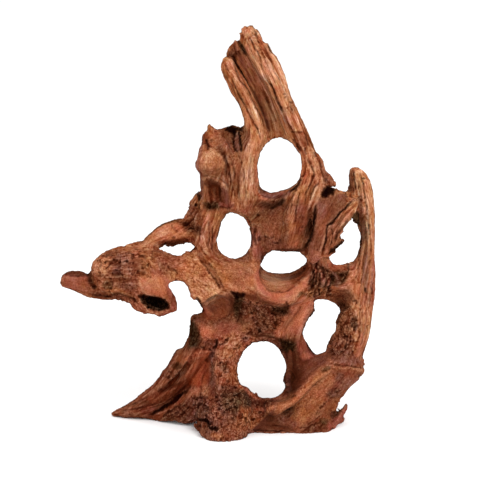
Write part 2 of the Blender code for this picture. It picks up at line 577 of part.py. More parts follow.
def fused_root(parts, cutters):
    """The whole piece as one skin: limbs, holes, hollows and furrows."""
    limbs = [limb(key, stations, parts) for group in LIMB_GROUPS for key, stations in group.items()]
    whole = joined("whole", limbs, parts)
    remesh(whole, FUSE_VOXEL, FUSE_RUBS)
    furrows = [limb(key, stations, cutters) for key, stations in GROOVES.items()]
    furrows = joined("furrows", furrows, cutters)
    remesh(furrows, GROOVE_VOXEL, 0)
    bores = [bore(key, *stated, cutters) for key, stated in HOLES.items()]
    pits = [hollow(key, *stated, cutters) for key, stated in HOLLOWS.items()]
    for cutter in bores + pits + [furrows]:
        cut(whole, cutter)
    remesh(whole, FINE_VOXEL, FINE_RUBS)
    gnarl(whole)
    share = TRIANGLES / (2 * len(whole.data.polygons))
    apply_modifier(whole, "DECIMATE", ratio=share, use_collapse_triangulate=True)
    return whole


def loose_groups(bm):
    """The vertices of each separate body."""
    remaining = set(bm.verts)
    groups = []
    while remaining:
        stack, group = [remaining.pop()], []
        while stack:
            vertex = stack.pop()
            group.append(vertex)
            for edge in vertex.link_edges:
                other = edge.other_vert(vertex)
                if other in remaining:
                    remaining.discard(other)
                    stack.append(other)
        groups.append(group)
    return groups


def split_at_forks(whole, collection):
    """Names each body that the saw cuts left by the point inside it."""
    bm = bmesh.new()
    bm.from_mesh(whole.data)
    groups = loose_groups(bm)
    if len(groups) != len(NODES):
        raise ValueError(f"the saw cuts leave {len(groups)} bodies")
    for name, (place, colour) in NODES.items():
        inside = seen(*place)
        nearest = min(groups, key=lambda group: min((v.co - inside).length for v in group))
        kept = {v.index for v in nearest}
        piece = bm.copy()
        others = [v for v in piece.verts if v.index not in kept]
        bmesh.ops.delete(piece, geom=others, context="VERTS")
        made = object_from(name, piece, collection)
        made.data.materials.append(wood(name, colour))
        made.data.shade_smooth()
        made.data.set_sharp_from_angle(angle=SHARP_ANGLE)
    bm.free()
    bpy.data.objects.remove(whole)


def wood(name, colour):
    material = bpy.data.materials.new(name + "_wood")
    material.use_nodes = True
    shader = material.node_tree.nodes["Principled BSDF"]
    shader.inputs["Base Color"].default_value = (*colour, 1.0)
    shader.inputs["Roughness"].default_value = WOOD_ROUGHNESS
    shader.inputs["Metallic"].default_value = 0.0
    return material


def main():
    for old in list(bpy.data.objects):
        bpy.data.objects.remove(old)
    parts = bpy.data.collections.new("porous_driftwood")
    cutters = bpy.data.collections.new("cutters")
    for collection in (parts, cutters):
        bpy.context.scene.collection.children.link(collection)
    whole = fused_root(parts, cutters)
    cut(whole, floor_block(cutters))
    for key, stated in KERFS.items():
        cut(whole, kerf(key + "_cut", *stated, cutters))
    split_at_forks(whole, parts)
    for cutter in cutters.objects:
        cutter.hide_render = True
        cutter.display_type = "WIRE"


main()
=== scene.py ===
# Porous aquarium driftwood, the looks: one grown root, split and water-worn, that stands on its broad foot.
#
# Places are drawn as the front view shows them, in millimetres: ACROSS from the middle line, UP from the
# front of the foot, and DEPTH behind the middle plane. The nine solids are joined into one skin, each stretch
# of wood is carved and stained on it in a section of its own, and the skin is parted at the same forks again.

import math
from itertools import product

import bmesh
import bpy
import numpy as np
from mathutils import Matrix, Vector
from mathutils.bvhtree import BVHTree
from mathutils.kdtree import KDTree


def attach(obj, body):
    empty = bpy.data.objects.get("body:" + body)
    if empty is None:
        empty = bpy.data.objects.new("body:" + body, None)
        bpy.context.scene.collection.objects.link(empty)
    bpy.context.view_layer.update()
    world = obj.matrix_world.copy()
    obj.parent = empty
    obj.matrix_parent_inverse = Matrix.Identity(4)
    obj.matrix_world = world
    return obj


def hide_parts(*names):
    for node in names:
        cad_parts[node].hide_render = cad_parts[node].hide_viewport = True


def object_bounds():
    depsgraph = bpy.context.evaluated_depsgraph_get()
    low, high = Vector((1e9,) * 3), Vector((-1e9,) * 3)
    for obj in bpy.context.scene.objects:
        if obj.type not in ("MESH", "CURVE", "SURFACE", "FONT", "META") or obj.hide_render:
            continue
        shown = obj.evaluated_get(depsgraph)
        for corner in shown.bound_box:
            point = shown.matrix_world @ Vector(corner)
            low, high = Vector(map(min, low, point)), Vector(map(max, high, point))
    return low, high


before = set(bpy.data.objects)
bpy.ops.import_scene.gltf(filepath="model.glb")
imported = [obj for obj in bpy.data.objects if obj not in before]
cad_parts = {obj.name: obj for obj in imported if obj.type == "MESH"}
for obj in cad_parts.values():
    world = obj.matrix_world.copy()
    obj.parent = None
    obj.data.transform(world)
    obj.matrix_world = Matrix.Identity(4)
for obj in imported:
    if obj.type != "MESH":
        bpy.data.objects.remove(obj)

cad_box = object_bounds()
MM = 0.001

# The camera. It stands two metres off and looks twelve degrees down at the middle of the piece, with a long
# lens, so that a millimetre on the middle plane is one five-hundredth of the frame.
VIEW_DROP = math.radians(12)
EYE_DISTANCE = 2.0
PIVOT = Vector((0, 0, 0.1815))
PIVOT_UP = 192
FRAME_WIDTH = 0.5
SENSOR_WIDTH = 36
FARTHEST_SEEN = 50

bpy.ops.object.select_all(action="DESELECT")
sight = Vector((0, math.cos(VIEW_DROP), -math.sin(VIEW_DROP)))
rise = Vector((0, math.sin(VIEW_DROP), math.cos(VIEW_DROP)))
eye = PIVOT - EYE_DISTANCE * sight
bpy.ops.object.camera_add(location=eye, rotation=(math.pi / 2 - VIEW_DROP, 0, 0))
camera = bpy.context.object
camera.data.sensor_width = SENSOR_WIDTH
camera.data.lens = SENSOR_WIDTH * EYE_DISTANCE / FRAME_WIDTH
camera.data.clip_end = FARTHEST_SEEN
bpy.context.scene.camera = camera


def drawn(points):
    """Across and up of points in metres, and how far they lie from the eye, all in millimetres."""
    from_eye = points - np.array(eye)
    far = from_eye @ np.array(sight)
    across = from_eye[:, 0] * EYE_DISTANCE / far / MM
    up = from_eye @ np.array(rise) * EYE_DISTANCE / far / MM + PIVOT_UP
    return across, up, far / MM


def placed(across, up, depth):
    """The points, in metres, that the front view shows there at that depth behind the middle plane."""
    lift_up = (up - PIVOT_UP) * MM
    reach = (depth * MM + EYE_DISTANCE * sight.y) / (EYE_DISTANCE * sight.y + lift_up * rise.y)
    height = eye.z + reach * (lift_up * rise.z + EYE_DISTANCE * sight.z)
    return np.stack([reach * across * MM, depth * MM + 0 * reach, height], -1)


# The wood as one skin. A root grows in one piece, so its surface runs on unbroken over the forks. Copies of
# the solids are swollen until the saw cuts close, fused, rubbed smooth, and fused once more with the thin
# splinters.
SWELLING = 0.3 * MM
COARSE_VOXEL = 1.4 * MM
COARSE_RUBS = 26
RUB_IN = 0.5
RUB_OUT = -0.52
WELD_GAP = 0.001 * MM


def apply_modifier(target, kind, **settings):
    """Adds a modifier, sets it and applies it."""
    bpy.context.view_layer.objects.active = target
    modifier = target.modifiers.new(kind.title(), kind)
    for key, value in settings.items():
        setattr(modifier, key, value)
    bpy.ops.object.modifier_apply(modifier=modifier.name)


def read_vectors(source, key, width=3, kind=np.float64):
    """One number row for each item of a mesh's list."""
    values = np.empty(len(source) * width, kind)
    source.foreach_get(key, values)
    return values.reshape(-1, width)


def rub(mesh, rounds):
    """Rubs a skin smooth without shrinking it, by steps in and steps out."""
    place = read_vectors(mesh.vertices, "co")
    ends = read_vectors(mesh.edges, "vertices", 2, np.int32)
    for share in (RUB_IN, RUB_OUT) * rounds:
        place += share * (neighbours_mean(place, ends) - place)
    mesh.vertices.foreach_set("co", place.ravel())
    mesh.update()


def neighbours_mean(values, ends):
    """For each point of a skin, the mean of the points that it shares an edge with."""
    count = len(values)
    near, far = ends.T
    met = np.bincount(near, minlength=count) + np.bincount(far, minlength=count)
    flat = values.reshape(count, -1)
    total = np.empty_like(flat)
    for k, column in enumerate(flat.T):
        total[:, k] = np.bincount(near, column[far], count) + np.bincount(far, column[near], count)
    return (total / np.maximum(met, 1)[:, None]).reshape(values.shape)


def twig(stations):
    """A thin splinter: a round rod through (across, up, depth, radius) stations."""
    curve = bpy.data.curves.new("twig", "CURVE")
    curve.dimensions = "3D"
    curve.bevel_depth = MM
    curve.bevel_resolution = 2
    curve.use_fill_caps = True
    spline = curve.splines.new("POLY")
    spline.points.add(len(stations) - 1)
    for point, (across, up, depth, radius) in zip(spline.points, stations):
        point.co = (*placed(across, up, depth), 1)
        point.radius = radius
    made = bpy.data.objects.new("twig", curve)
    bpy.context.scene.collection.objects.link(made)
    return made


for name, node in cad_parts.items():
    copy = bpy.data.objects.new(name + "_copy", node.data.copy())
    bpy.context.scene.collection.objects.link(copy)
    copy.select_set(True)
    bpy.context.view_layer.objects.active = copy
bpy.ops.object.join()
skin = bpy.context.object
skin.data.materials.clear()
bpy.ops.object.mode_set(mode="EDIT")
bpy.ops.mesh.select_all(action="SELECT")
bpy.ops.mesh.remove_doubles(threshold=WELD_GAP)
bpy.ops.transform.shrink_fatten(value=SWELLING)
bpy.ops.object.mode_set(mode="OBJECT")
apply_modifier(skin, "REMESH", mode="VOXEL", voxel_size=COARSE_VOXEL)
rub(skin.data, COARSE_RUBS)


# The frayed ends and the outline. Splinters are thin tapering rods, (across, up, depth, radius) from root to
# tip, sunk into the wood they broke from. More rods fill the rims out to the drawn outlines of the wood and
# of the eyes through it, and what stands over an outline is dressed back to it.
FINE_VOXEL = 0.85 * MM
TRIM_RUBS = (3, 2, 0)
SPLINTERS = (
    ((-1, 404, -9, 4.0), (-3, 412, -9, 2.4), (-2, 417, -9, 0.8)),
    ((1, 405, -9, 3.5), (2.5, 413, -9, 2.0), (3, 416, -9, 0.7)),
    ((-8, 398, -9, 2.8), (-8.5, 405, -9, 1.6), (-11, 410, -9, 0.4)),
    ((7, 402, -10, 2.8), (8, 409, -10, 1.8), (7.5, 412.5, -10, 0.6)),
    ((11, 388, -10, 3.2), (15, 394.5, -10, 1.7), (18.4, 398.8, -10, 0.4)),
    ((16, 381, -10, 3.2), (20, 388.5, -10, 1.7), (22.4, 393.5, -10, 0.4)),
    ((-11, 392, -8, 3.0), (-13.5, 398.5, -8, 1.8), (-15.5, 402.5, -8, 0.5)),
    ((-17, 388, -8, 3.0), (-21, 393, -8, 1.6), (-23, 396, -8, 0.4)),
    ((-22, 376, -8, 3.4), (-26, 382, -8, 1.8), (-28.5, 385, -8, 0.5)),
    ((-35, 303, 4, 4.6), (-38.5, 311, 4, 2.4), (-40.3, 318.5, 4, 0.5)),
    ((-41, 301, 4, 3.4), (-42, 308, 4, 1.6), (-42.3, 312.5, 4, 0.4)),
    ((-30, 304, 4, 3.6), (-31.5, 309.5, 4, 2.0), (-32.2, 313, 4, 0.5)),
    ((82, 257, -26, 2.6), (86, 258, -26, 1.5), (88.4, 257.4, -26, 0.5)),
    ((77, 262, -24, 3.0), (81, 265, -24, 1.6), (83.5, 266.5, -24, 0.5)),
    ((86, 202, -40, 2.2), (91, 202.3, -40, 1.4), (95.4, 202.6, -40, 0.4)),
    ((80, 190, -38, 2.6), (84, 190.2, -38, 1.5), (86.8, 190.4, -38, 0.5)),
    ((88, 207, -40, 2.2), (91.5, 209.5, -40, 1.2), (93.8, 211.3, -40, 0.3)),
    ((59, 131, -10, 3.0), (63, 131.3, -10, 1.8), (65.6, 131.5, -10, 0.8)),
    ((98, 230, -38, 2.6), (103, 228, -24, 3.2), (109, 226, -6, 3.6)),
    ((101, 227, -32, 2.4), (105.5, 224.5, -18, 3.0), (110, 221, -2, 3.4)),
    ((3, 45, 2, 3.0), (6.5, 47.5, 2, 2.0), (8, 48.2, 2, 1.0)),
    ((-96, 26.5, 14, 3.2), (-100, 25.5, 14, 1.9), (-102.5, 24.6, 14, 0.6)),
    ((-90, 24, 13, 3.4), (-94.5, 22.6, 13, 2.0), (-97, 21.3, 13, 0.7)),
    ((92, 31, -12, 2.8), (95, 35.5, -12, 1.6), (96.4, 38.4, -12, 0.4)),
    ((77, 15, -10, 4.4), (83.5, 17.6, -11, 4.0), (87.4, 23, -12, 3.6), (91, 29.6, -12, 2.6)),
    ((78, 36, -12, 5.0), (82, 33.4, -12, 3.6), (84.6, 30.6, -12, 2.4)),
    ((82, 42, -12, 5.0), (84, 38, -12, 4.0), (83.6, 34, -12, 2.8)),
    ((80, 49, -14, 5.0), (87, 45, -14, 4.4), (88.2, 40, -13, 2.2)),
)

OUTER = (
    (-5.5, 320), (-6.5, 325), (-8, 331), (-11, 338), (-15, 344), (-19, 350), (-22, 357), (-25, 363),
    (-28, 369), (-29.5, 373), (-28.5, 380), (-27, 383), (-25, 384.5), (-24, 387), (-22, 393), (-20, 396),
    (-17, 398.5), (-15.5, 402), (-13, 401), (-10, 402), (-9.6, 405), (-11, 409.5), (-9, 407), (-8, 404.5),
    (-8.2, 409), (-9, 413.5), (-6, 416), (-3, 414.8), (0, 417), (3, 416.5), (4.2, 413), (7, 413), (9, 410.5),
    (11, 406), (12.6, 401), (11.6, 399.4), (15, 399), (18, 398.6), (20, 394.5), (22.5, 389), (26, 385),
    (29, 380), (32, 374), (34, 369), (36, 361), (38, 353), (40, 347), (44, 339), (47, 334), (50, 326),
    (53, 320), (57, 312), (58, 309), (60, 304), (63, 297), (66, 289), (69, 288), (71, 284), (74, 278),
    (75, 273), (77, 270), (80, 267.5), (82, 265), (84, 261), (86, 260), (88, 257), (86.5, 253.5), (86, 252),
    (90, 251.5), (93, 250.5), (99, 250), (97, 254.5), (99.5, 257), (98, 266), (100.5, 274), (102, 275),
    (108, 274.5), (113, 271.5), (116, 269), (118, 265), (120, 262), (121.5, 256), (123, 248), (123.5, 240),
    (124.5, 230), (124.5, 222), (125, 205), (124.5, 190), (125, 175), (126, 168), (125.5, 160), (125, 150),
    (124.5, 143), (123.5, 137), (122.5, 130), (121.5, 122), (120.5, 114), (119.5, 108), (117, 100),
    (114.5, 92), (112, 84.5), (115, 81), (115.3, 75), (114.5, 70), (112, 66), (109, 62.5), (104, 58.5),
    (100, 55), (96, 50), (92, 44), (90, 40), (88.3, 36), (85.4, 30.6), (89.6, 31.6), (93, 34.6), (96, 38.6),
    (97.4, 37), (97.2, 33), (94.4, 28), (91.6, 22.6), (88, 16.6), (84.6, 11.6), (80, 9.3), (75, 8.5),
    (62, 8.3), (50, 8.2), (45, 9), (38, 9.5), (24, 10.2), (0, 10.5), (-3, 9), (-8, 6), (-15, 2), (-28, 1),
    (-35, 0), (-42, 5), (-49, 9), (-53, 11), (-56, 15), (-57.6, 21), (-60, 21.6), (-66, 19.7), (-72, 20.3),
    (-80, 21), (-90, 20.5), (-96, 21), (-97, 23.4), (-102, 24.6), (-104, 26), (-107, 25.5), (-112, 24.8),
    (-125, 25), (-135, 25.5), (-138, 26.5), (-139.5, 28.5), (-137, 30), (-132, 33), (-126, 36), (-120, 40),
    (-116, 43), (-112, 46.5), (-108, 49.5), (-104, 52), (-100, 55), (-98, 57), (-94, 61), (-90, 66),
    (-89, 68), (-87, 72), (-84, 74), (-82, 77), (-79, 82), (-76, 88), (-73, 92), (-70, 93), (-66, 95),
    (-64, 100), (-62, 104), (-60.5, 110), (-60, 117), (-59, 124), (-57, 128), (-48, 129.5), (-44, 131),
    (-47, 133), (-50, 137), (-52, 141), (-54, 143), (-56, 142), (-59, 145), (-60, 149), (-62, 155),
    (-66, 160), (-70, 161.5), (-76, 161), (-80, 159.5), (-82, 156), (-79, 152), (-76, 147), (-73, 143),
    (-73, 131), (-80, 129), (-87, 126), (-91, 125.5), (-95, 127.5), (-100, 128.5), (-108, 128.5), (-112, 130),
    (-116, 133), (-118, 135), (-120, 138.5), (-127, 140), (-135, 143), (-138, 142), (-144, 142), (-150, 143),
    (-157, 143.7), (-163, 145), (-168, 147), (-172, 149.5), (-176, 151.5), (-182, 153.5), (-189, 156),
    (-189.5, 160), (-188.5, 165), (-187, 168), (-181, 170.5), (-178, 171.5), (-171, 171), (-166, 169.5),
    (-163, 168), (-160, 169.5), (-159, 175), (-157, 180), (-153, 185), (-148, 188), (-143, 191), (-138, 193),
    (-132, 195.5), (-125, 197), (-118, 199), (-112, 200.5), (-107, 201), (-104, 205), (-100, 209), (-97, 212),
    (-93, 214.5), (-88, 217.5), (-80, 221), (-76, 223.5), (-71, 223), (-66, 223.5), (-65, 226), (-63, 230),
    (-61, 236), (-60, 241), (-57, 243), (-55, 247), (-53, 249.5), (-48.5, 250), (-49, 255), (-50, 262),
    (-50, 268), (-52, 271), (-54, 274), (-56, 279), (-53, 282), (-52, 288), (-51, 293), (-48.5, 298),
    (-48, 305), (-46, 309), (-42.5, 311.5), (-42, 316), (-40, 318), (-37, 315), (-33, 312.5), (-29, 313),
    (-25, 314.5), (-17, 317), (-12, 315), (-6, 313),
)
EYES = (
    ((7, 277), (8, 264), (10, 254), (13, 252), (20, 249), (28, 250), (38, 253), (46, 258), (50, 264),
     (52, 275), (51, 287), (47, 292), (42, 299), (35, 304), (29, 305), (22, 303), (15, 297), (10, 290)),
    ((-34, 202), (-31, 211), (-29, 220), (-24, 228), (-20, 230), (-12, 228), (-5, 223), (-1, 215), (1, 205),
     (0, 195), (-4, 188), (-9, 185), (-14, 183), (-21, 184), (-28, 188), (-32, 193)),
    ((100, 222), (103, 220), (107, 217), (110, 210), (111, 205), (110, 200), (110, 195), (108, 188),
     (105, 183), (100, 180), (93, 177.5), (87, 177), (83, 178), (80, 182), (79, 185), (83, 188), (86, 190),
     (84, 192), (91, 197), (95, 202), (91, 203), (88, 203.5), (90, 207), (93.5, 210.5), (92, 211.6),
     (96, 217)),
    ((10, 177.5), (13, 181), (15, 186), (19, 189), (22.5, 192), (26, 191.5), (32, 190.6), (38, 190.5),
     (46, 190.7), (50, 190), (54, 186.5), (58, 181.8), (55, 178), (50, 174), (45, 171), (40, 169), (37, 169),
     (30, 168.5), (22, 169), (18, 170), (13, 173), (11, 175.5)),
    ((64, 142), (70, 143), (78, 142), (84, 139), (88, 134), (91, 130), (88, 127), (86, 121), (86, 112),
     (85, 110), (81, 107), (79, 102), (77, 93), (76, 90), (71, 89), (66, 87), (62, 91), (58, 97), (54, 103),
     (52, 109), (54, 114), (57, 120), (59, 125), (62, 126), (63, 129), (65.4, 131), (64, 134), (64, 138)),
    ((7, 100), (13, 101), (18, 100.5), (24, 98), (29, 93), (32, 88), (35, 82), (36.5, 76), (36, 71), (34, 66),
     (33, 61), (35, 58), (36, 56), (34, 52), (32, 49), (28, 46), (24, 45), (18, 44), (13, 43.5), (9, 46),
     (7, 49), (4, 49), (0, 52), (-3, 55), (-7, 56), (-10, 58), (-11.5, 61), (-12.5, 66), (-13, 72),
     (-12.5, 78), (-10.5, 83), (-7, 90), (-2, 96), (3, 99.5)),
    ((-92, 194), (-86, 195), (-77, 195), (-73, 197), (-66, 198), (-64, 199.5), (-60, 199.5), (-57, 197.5),
     (-54, 194), (-54, 192), (-60, 192), (-65, 191), (-68, 187), (-71, 186), (-77, 187), (-82, 189.5),
     (-90, 193)),
)
RIM_RADIUS = 2.6
RIM_STEP = 3.0
RIM_FACING = 0.3
RIM_NEIGHBOURS = 9
RIM_REACH = 7
RIM_JUMP = 6
SEAT = 4.0


def facing_eye(place, normal):
    """How squarely the skin faces the eye at each point: one if it does, nought at an outline."""
    to_eye = np.array(eye) - place
    return (to_eye * normal).sum(1) / np.linalg.norm(to_eye, axis=1)


def walked(outline, step):
    """Points along a closed outline, a step apart, with the direction there."""
    corners = np.array((*outline, outline[0]), float)
    runs = np.diff(corners, axis=0)
    lengths = np.hypot(*runs.T)
    stops = np.concatenate([[0], np.cumsum(lengths)])
    along = np.arange(0, stops[-1], step)
    spots = np.stack([np.interp(along, stops, corners[:, k]) for k in (0, 1)], 1)
    ahead = np.roll(spots, -1, 0) - np.roll(spots, 1, 0)
    return spots, ahead / np.hypot(*ahead.T)[:, None]


def turned_left(outline):
    """One if the outline runs anticlockwise, and minus one if it runs clockwise."""
    x, y = np.array(outline, float).T
    return np.sign((x * np.roll(y, -1) - y * np.roll(x, -1)).sum())


def rim_rods(outline, wood_inside):
    """Rods just inside the wood's outline, at the depth of the skin's own edge there."""
    spots, ahead = walked(outline, RIM_STEP)
    inward = np.stack([-ahead[:, 1], ahead[:, 0]], 1) * turned_left(outline) * (1 if wood_inside else -1)
    centres = spots + inward * RIM_RADIUS
    rods, stations = [], []
    for x, y in np.vstack([centres, centres[:1]]):
        near_rim = rim_tree.find_n((x, y, 0), RIM_NEIGHBOURS)
        depth = float(np.median([rim_depth[index] for _, index, _ in near_rim]))
        if np.median([gap for _, _, gap in near_rim]) > RIM_REACH or y < SEAT:
            depth = None
        if stations and (depth is None or abs(depth - stations[-1][2]) > RIM_JUMP):
            rods.append(stations)
            stations = []
        if depth is not None:
            stations = stations + [(x, y, depth, RIM_RADIUS)]
    return [rod for rod in (*rods, stations) if len(rod) > 1]


def inside_outline(across, up, outline):
    """Which points lie inside a closed outline."""
    inside = np.zeros(len(across), bool)
    for (x0, y0), (x1, y1) in zip(outline, (*outline[1:], outline[0])):
        if y0 != y1:
            spans = (up > y0) != (up > y1)
            inside ^= spans & (across < x0 + (up - y0) * (x1 - x0) / (y1 - y0))
    return inside


def trimmed(place, outline, wood_inside):
    """Brings the points on the wrong side of an outline to it, as the front view shows them."""
    across, up, _ = drawn(place)
    wrong = inside_outline(across, up, outline) != wood_inside
    wrong &= place[:, 2] > SEAT * MM
    found = np.flatnonzero(wrong)
    spot = np.stack([across[found], up[found]], 1)
    target, least = spot.copy(), np.full(len(found), np.inf)
    for a, b in zip(np.array(outline, float), np.array((*outline[1:], outline[0]), float)):
        share = np.clip((spot - a) @ (b - a) / ((b - a) @ (b - a)), 0, 1)
        foot = a + share[:, None] * (b - a)
        gap = ((spot - foot) ** 2).sum(1)
        closer = gap < least
        least[closer], target[closer] = gap[closer], foot[closer]
    place[found] = placed(*target.T, place[found, 1] / MM)


skin_place = read_vectors(skin.data.vertices, "co")
on_rim = np.abs(facing_eye(skin_place, read_vectors(skin.data.vertex_normals, "vector"))) < RIM_FACING
rim_across, rim_up, _ = drawn(skin_place[on_rim])
rim_depth = skin_place[on_rim, 1] / MM
rim_tree = KDTree(len(rim_depth))
for index, (x, y) in enumerate(zip(rim_across, rim_up)):
    rim_tree.insert((x, y, 0), index)
rim_tree.balance()

bpy.ops.object.select_all(action="DESELECT")
rods = [rod for outline in EYES for rod in rim_rods(outline, False)] + rim_rods(OUTER, True)
for stations in (*SPLINTERS, *rods):
    twig(stations).select_set(True)
bpy.context.view_layer.objects.active = bpy.context.selected_objects[0]
bpy.ops.object.convert(target="MESH")
skin.select_set(True)
bpy.context.view_layer.objects.active = skin
bpy.ops.object.join()
apply_modifier(skin, "REMESH", mode="VOXEL", voxel_size=FINE_VOXEL)
for rounds in TRIM_RUBS:
    rub(skin.data, rounds)
    skin_place = read_vectors(skin.data.vertices, "co")
    for outline in EYES:
        trimmed(skin_place, outline, False)
    trimmed(skin_place, OUTER, True)
    skin.data.vertices.foreach_set("co", skin_place.ravel())
    skin.data.update()


# From here the skin is rows of numbers: where each point is, how far the carving lifts it and how the wood is
# stained. The strokes are drawn over the front, and what the front can't show keeps to grain and weathering.
LINE_STEP = 1.5
CLEAR_OF = 0.35
TURNED_AWAY = -0.1
SEEN_RUBS = 2
GRAZING = (0.05, 0.4)
HALF_SEEN = (0.05, 0.6)
BARELY_SEEN = 0.02
END_TAPER = 0.14
WHOLE_FROM = 1.2
THINNEST = 0.95
GROOVE_REACH = 3
BAND_REACH, BAND_EDGE = 1.6, (0.45, 1.5)
LIP_REACH, LIP_SLOPE = 9, 5.625
# The lip's pale edge is a painted highlight, and the dark below it painted shadow.
LIP_FOOT, LIP_UNDERCUT, LIP_HIGHLIGHT = 1.5, 0.7, 0.45
SCREEN_GAMMA = 2.2
STUDIO_LIGHT = 1.75


def shade(red, green, blue):
    """The wood's colour that a screen shows as these values in the studio's strong light."""
    return np.array([(c / 255) ** SCREEN_GAMMA for c in (red, green, blue)]) / STUDIO_LIGHT


BLEACHED, TAN, HONEY = shade(228, 168, 130), shade(208, 141, 104), shade(192, 120, 80)
SALMON, ROSE, MAUVE = shade(198, 114, 84), shade(162, 88, 72), shade(132, 84, 72)
EMBER, RUSSET, RED = shade(164, 72, 40), shade(158, 91, 65), shade(122, 54, 32)
UMBER, CHOCOLATE = shade(125, 74, 55), shade(82, 39, 24)
# The blackest tone is painted shade: the black of deep splits, holes and the undersides of edges.
OLIVE, SHADE_BLACK = shade(76, 56, 36), shade(28, 12, 6)


def eased(values, low, high):
    """Nought below low, one above high, and a smooth rise between."""
    share = np.clip((values - low) / (high - low), 0, 1)
    return share * share * (3 - 2 * share)


place = read_vectors(skin.data.vertices, "co")
ends = read_vectors(skin.data.edges, "vertices", 2, np.int32)
normal = read_vectors(skin.data.vertex_normals, "vector")
across, up, _ = drawn(place)
count = len(place)

facing = facing_eye(place, normal)
lifted = place + CLEAR_OF * MM * normal
ways = np.array(eye) - lifted
skin_tree = BVHTree.FromObject(skin, bpy.context.evaluated_depsgraph_get())
seen = np.zeros(count)
for index in np.flatnonzero(facing > TURNED_AWAY):
    seen[index] = skin_tree.ray_cast(lifted[index], ways[index])[0] is None
front = seen * eased(facing, *GRAZING)
for _ in range(SEEN_RUBS):
    seen, front = neighbours_mean(seen, ends), neighbours_mean(front, ends)
seen = eased(seen, *HALF_SEEN)

TABLE_SIZE = 4096
CELL_STEPS = np.array((7919, 104729, 1299709))
SCATTER, SCATTER_BITS = 2654435761, 13
SEED_SHIFT, SEED_STEP = 17.3, 31
noise_table = np.random.default_rng(7).uniform(-1, 1, TABLE_SIZE)


def lumps(points, size, seed):
    """Smooth noise, between minus one and one, with lumps of that size in millimetres."""
    cell = points / (size * MM) + seed * SEED_SHIFT
    low = np.floor(cell).astype(np.int64)
    part = cell - low
    part = part * part * (3 - 2 * part)
    total = np.zeros(len(points))
    for corner in product((0, 1), repeat=3):
        key = (low + corner) @ CELL_STEPS + seed * SEED_STEP
        share = np.where(corner, part, 1 - part).prod(1)
        total += share * noise_table[(key * SCATTER >> SCATTER_BITS) % TABLE_SIZE]
    return total


# The strokes waver by about a millimetre, as torn and worn edges do, and the finest cracks come and go.
across += 0.8 * lumps(place, size=6.5, seed=21) + 0.5 * lumps(place, size=2.6, seed=22)
up += 0.8 * lumps(place, size=6.5, seed=23) + 0.5 * lumps(place, size=2.6, seed=24)
broken = 0.95 + 0.4 * lumps(place, size=4, seed=25) + 0.25 * lumps(place, size=1.8, seed=26)
broken = np.clip(broken, 0.3, 1.2)

lift = np.zeros(count)
stain = np.zeros((count, 3))
# dark gathers the dark of splits, holes and the undersides of edges, much of it painted shade; pale  gathers
# worn crests and painted highlights.
dark, pale = np.zeros(count), np.zeros(count)
fibre, grit = np.ones(count), np.full(count, 0.3)
painted = np.zeros(count)
grain_lines = []


def bent(points):
    """A smooth line through (across, up) or (across, up, width) points, as short straight steps."""
    rows = np.array([(*point, 1.0)[:3] for point in points], float)
    rows = np.vstack([2 * rows[0] - rows[1], rows, 2 * rows[-1] - rows[-2]])
    made = []
    for a, b, c, d in zip(rows, rows[1:], rows[2:], rows[3:]):
        steps = max(int(np.hypot(*(c - b)[:2]) / LINE_STEP), 1)
        for t in np.arange(steps) / steps:
            bow = (2 * a - 5 * b + 4 * c - d) * t**2 + (3 * b - a - 3 * c + d) * t**3
            made.append(0.5 * (2 * b + (c - a) * t + bow))
    return np.array(made + [rows[-2]])


def near(low, high):
    """The points that the eye sees inside a box on the drawing."""
    inside = (across > low[0]) & (across < high[0]) & (up > low[1]) & (up < high[1])
    return np.flatnonzero(inside & (seen > BARELY_SEEN))


def measured(found, line):
    """For points and a line: how far to the line's left, how far along it, and the line's width there."""
    spot = np.stack([across[found], up[found]], 1)
    start, run = line[:-1], np.diff(line, axis=0)
    best = np.zeros(len(found), int)
    least = np.full(len(found), np.inf)
    kept = np.zeros(len(found))
    for k, (a, way) in enumerate(zip(start[:, :2], run[:, :2])):
        part = np.clip((spot - a) @ way / (way @ way), 0, 1)
        gap = ((spot - a - part[:, None] * way) ** 2).sum(1)
        closer = gap < least
        least[closer], best[closer], kept[closer] = gap[closer], k, part[closer]
    off = spot - start[best, :2]
    side = run[best, 0] * off[:, 1] - run[best, 1] * off[:, 0]
    away = np.sqrt(least) * np.where(side < 0, -1, 1)
    return away, (best + kept) / len(run), start[best, 2] + run[best, 2] * kept


def beside(points, reach):
    """The front points within reach of a drawn line, with what measured tells of them."""
    line = bent(points)
    found = near(line[:, :2].min(0) - reach, line[:, :2].max(0) + reach)
    away, along, width = measured(found, line)
    touched = np.abs(away) < reach
    return found[touched], away[touched], along[touched], width[touched]


def tapered(along):
    """Full along the middle of a line, thinning to nothing at both ends."""
    return np.sqrt(np.clip(np.minimum(along, 1 - along) / END_TAPER, 0, 1))


def tint(found, mask, darkness):
    """Darkens by a mask, or makes paler if darkness is negative."""
    depth_of_tone = dark if darkness > 0 else pale
    depth_of_tone[found] = np.maximum(depth_of_tone[found], abs(darkness) * mask * seen[found])


def groove(half_width, deep, darkness, *points):
    """A split or furrow along a line, dark at its bottom: its own dark line, deepened with painted shade."""
    half_width = max(half_width, THINNEST)
    found, away, along, width = beside(points, GROOVE_REACH * half_width)
    off = (away / (half_width * width)) ** 2
    held = tapered(along)
    if half_width < WHOLE_FROM:
        held *= broken[found]
    lift[found] -= deep * width * np.exp(-off) * held * front[found]
    tint(found, np.exp(-off * off if half_width > WHOLE_FROM else -off) * held, darkness)


def rib(half_width, height, paleness, *points):
    """A raised rib along a line, worn pale on its crest."""
    groove(half_width, -height, -paleness, *points)


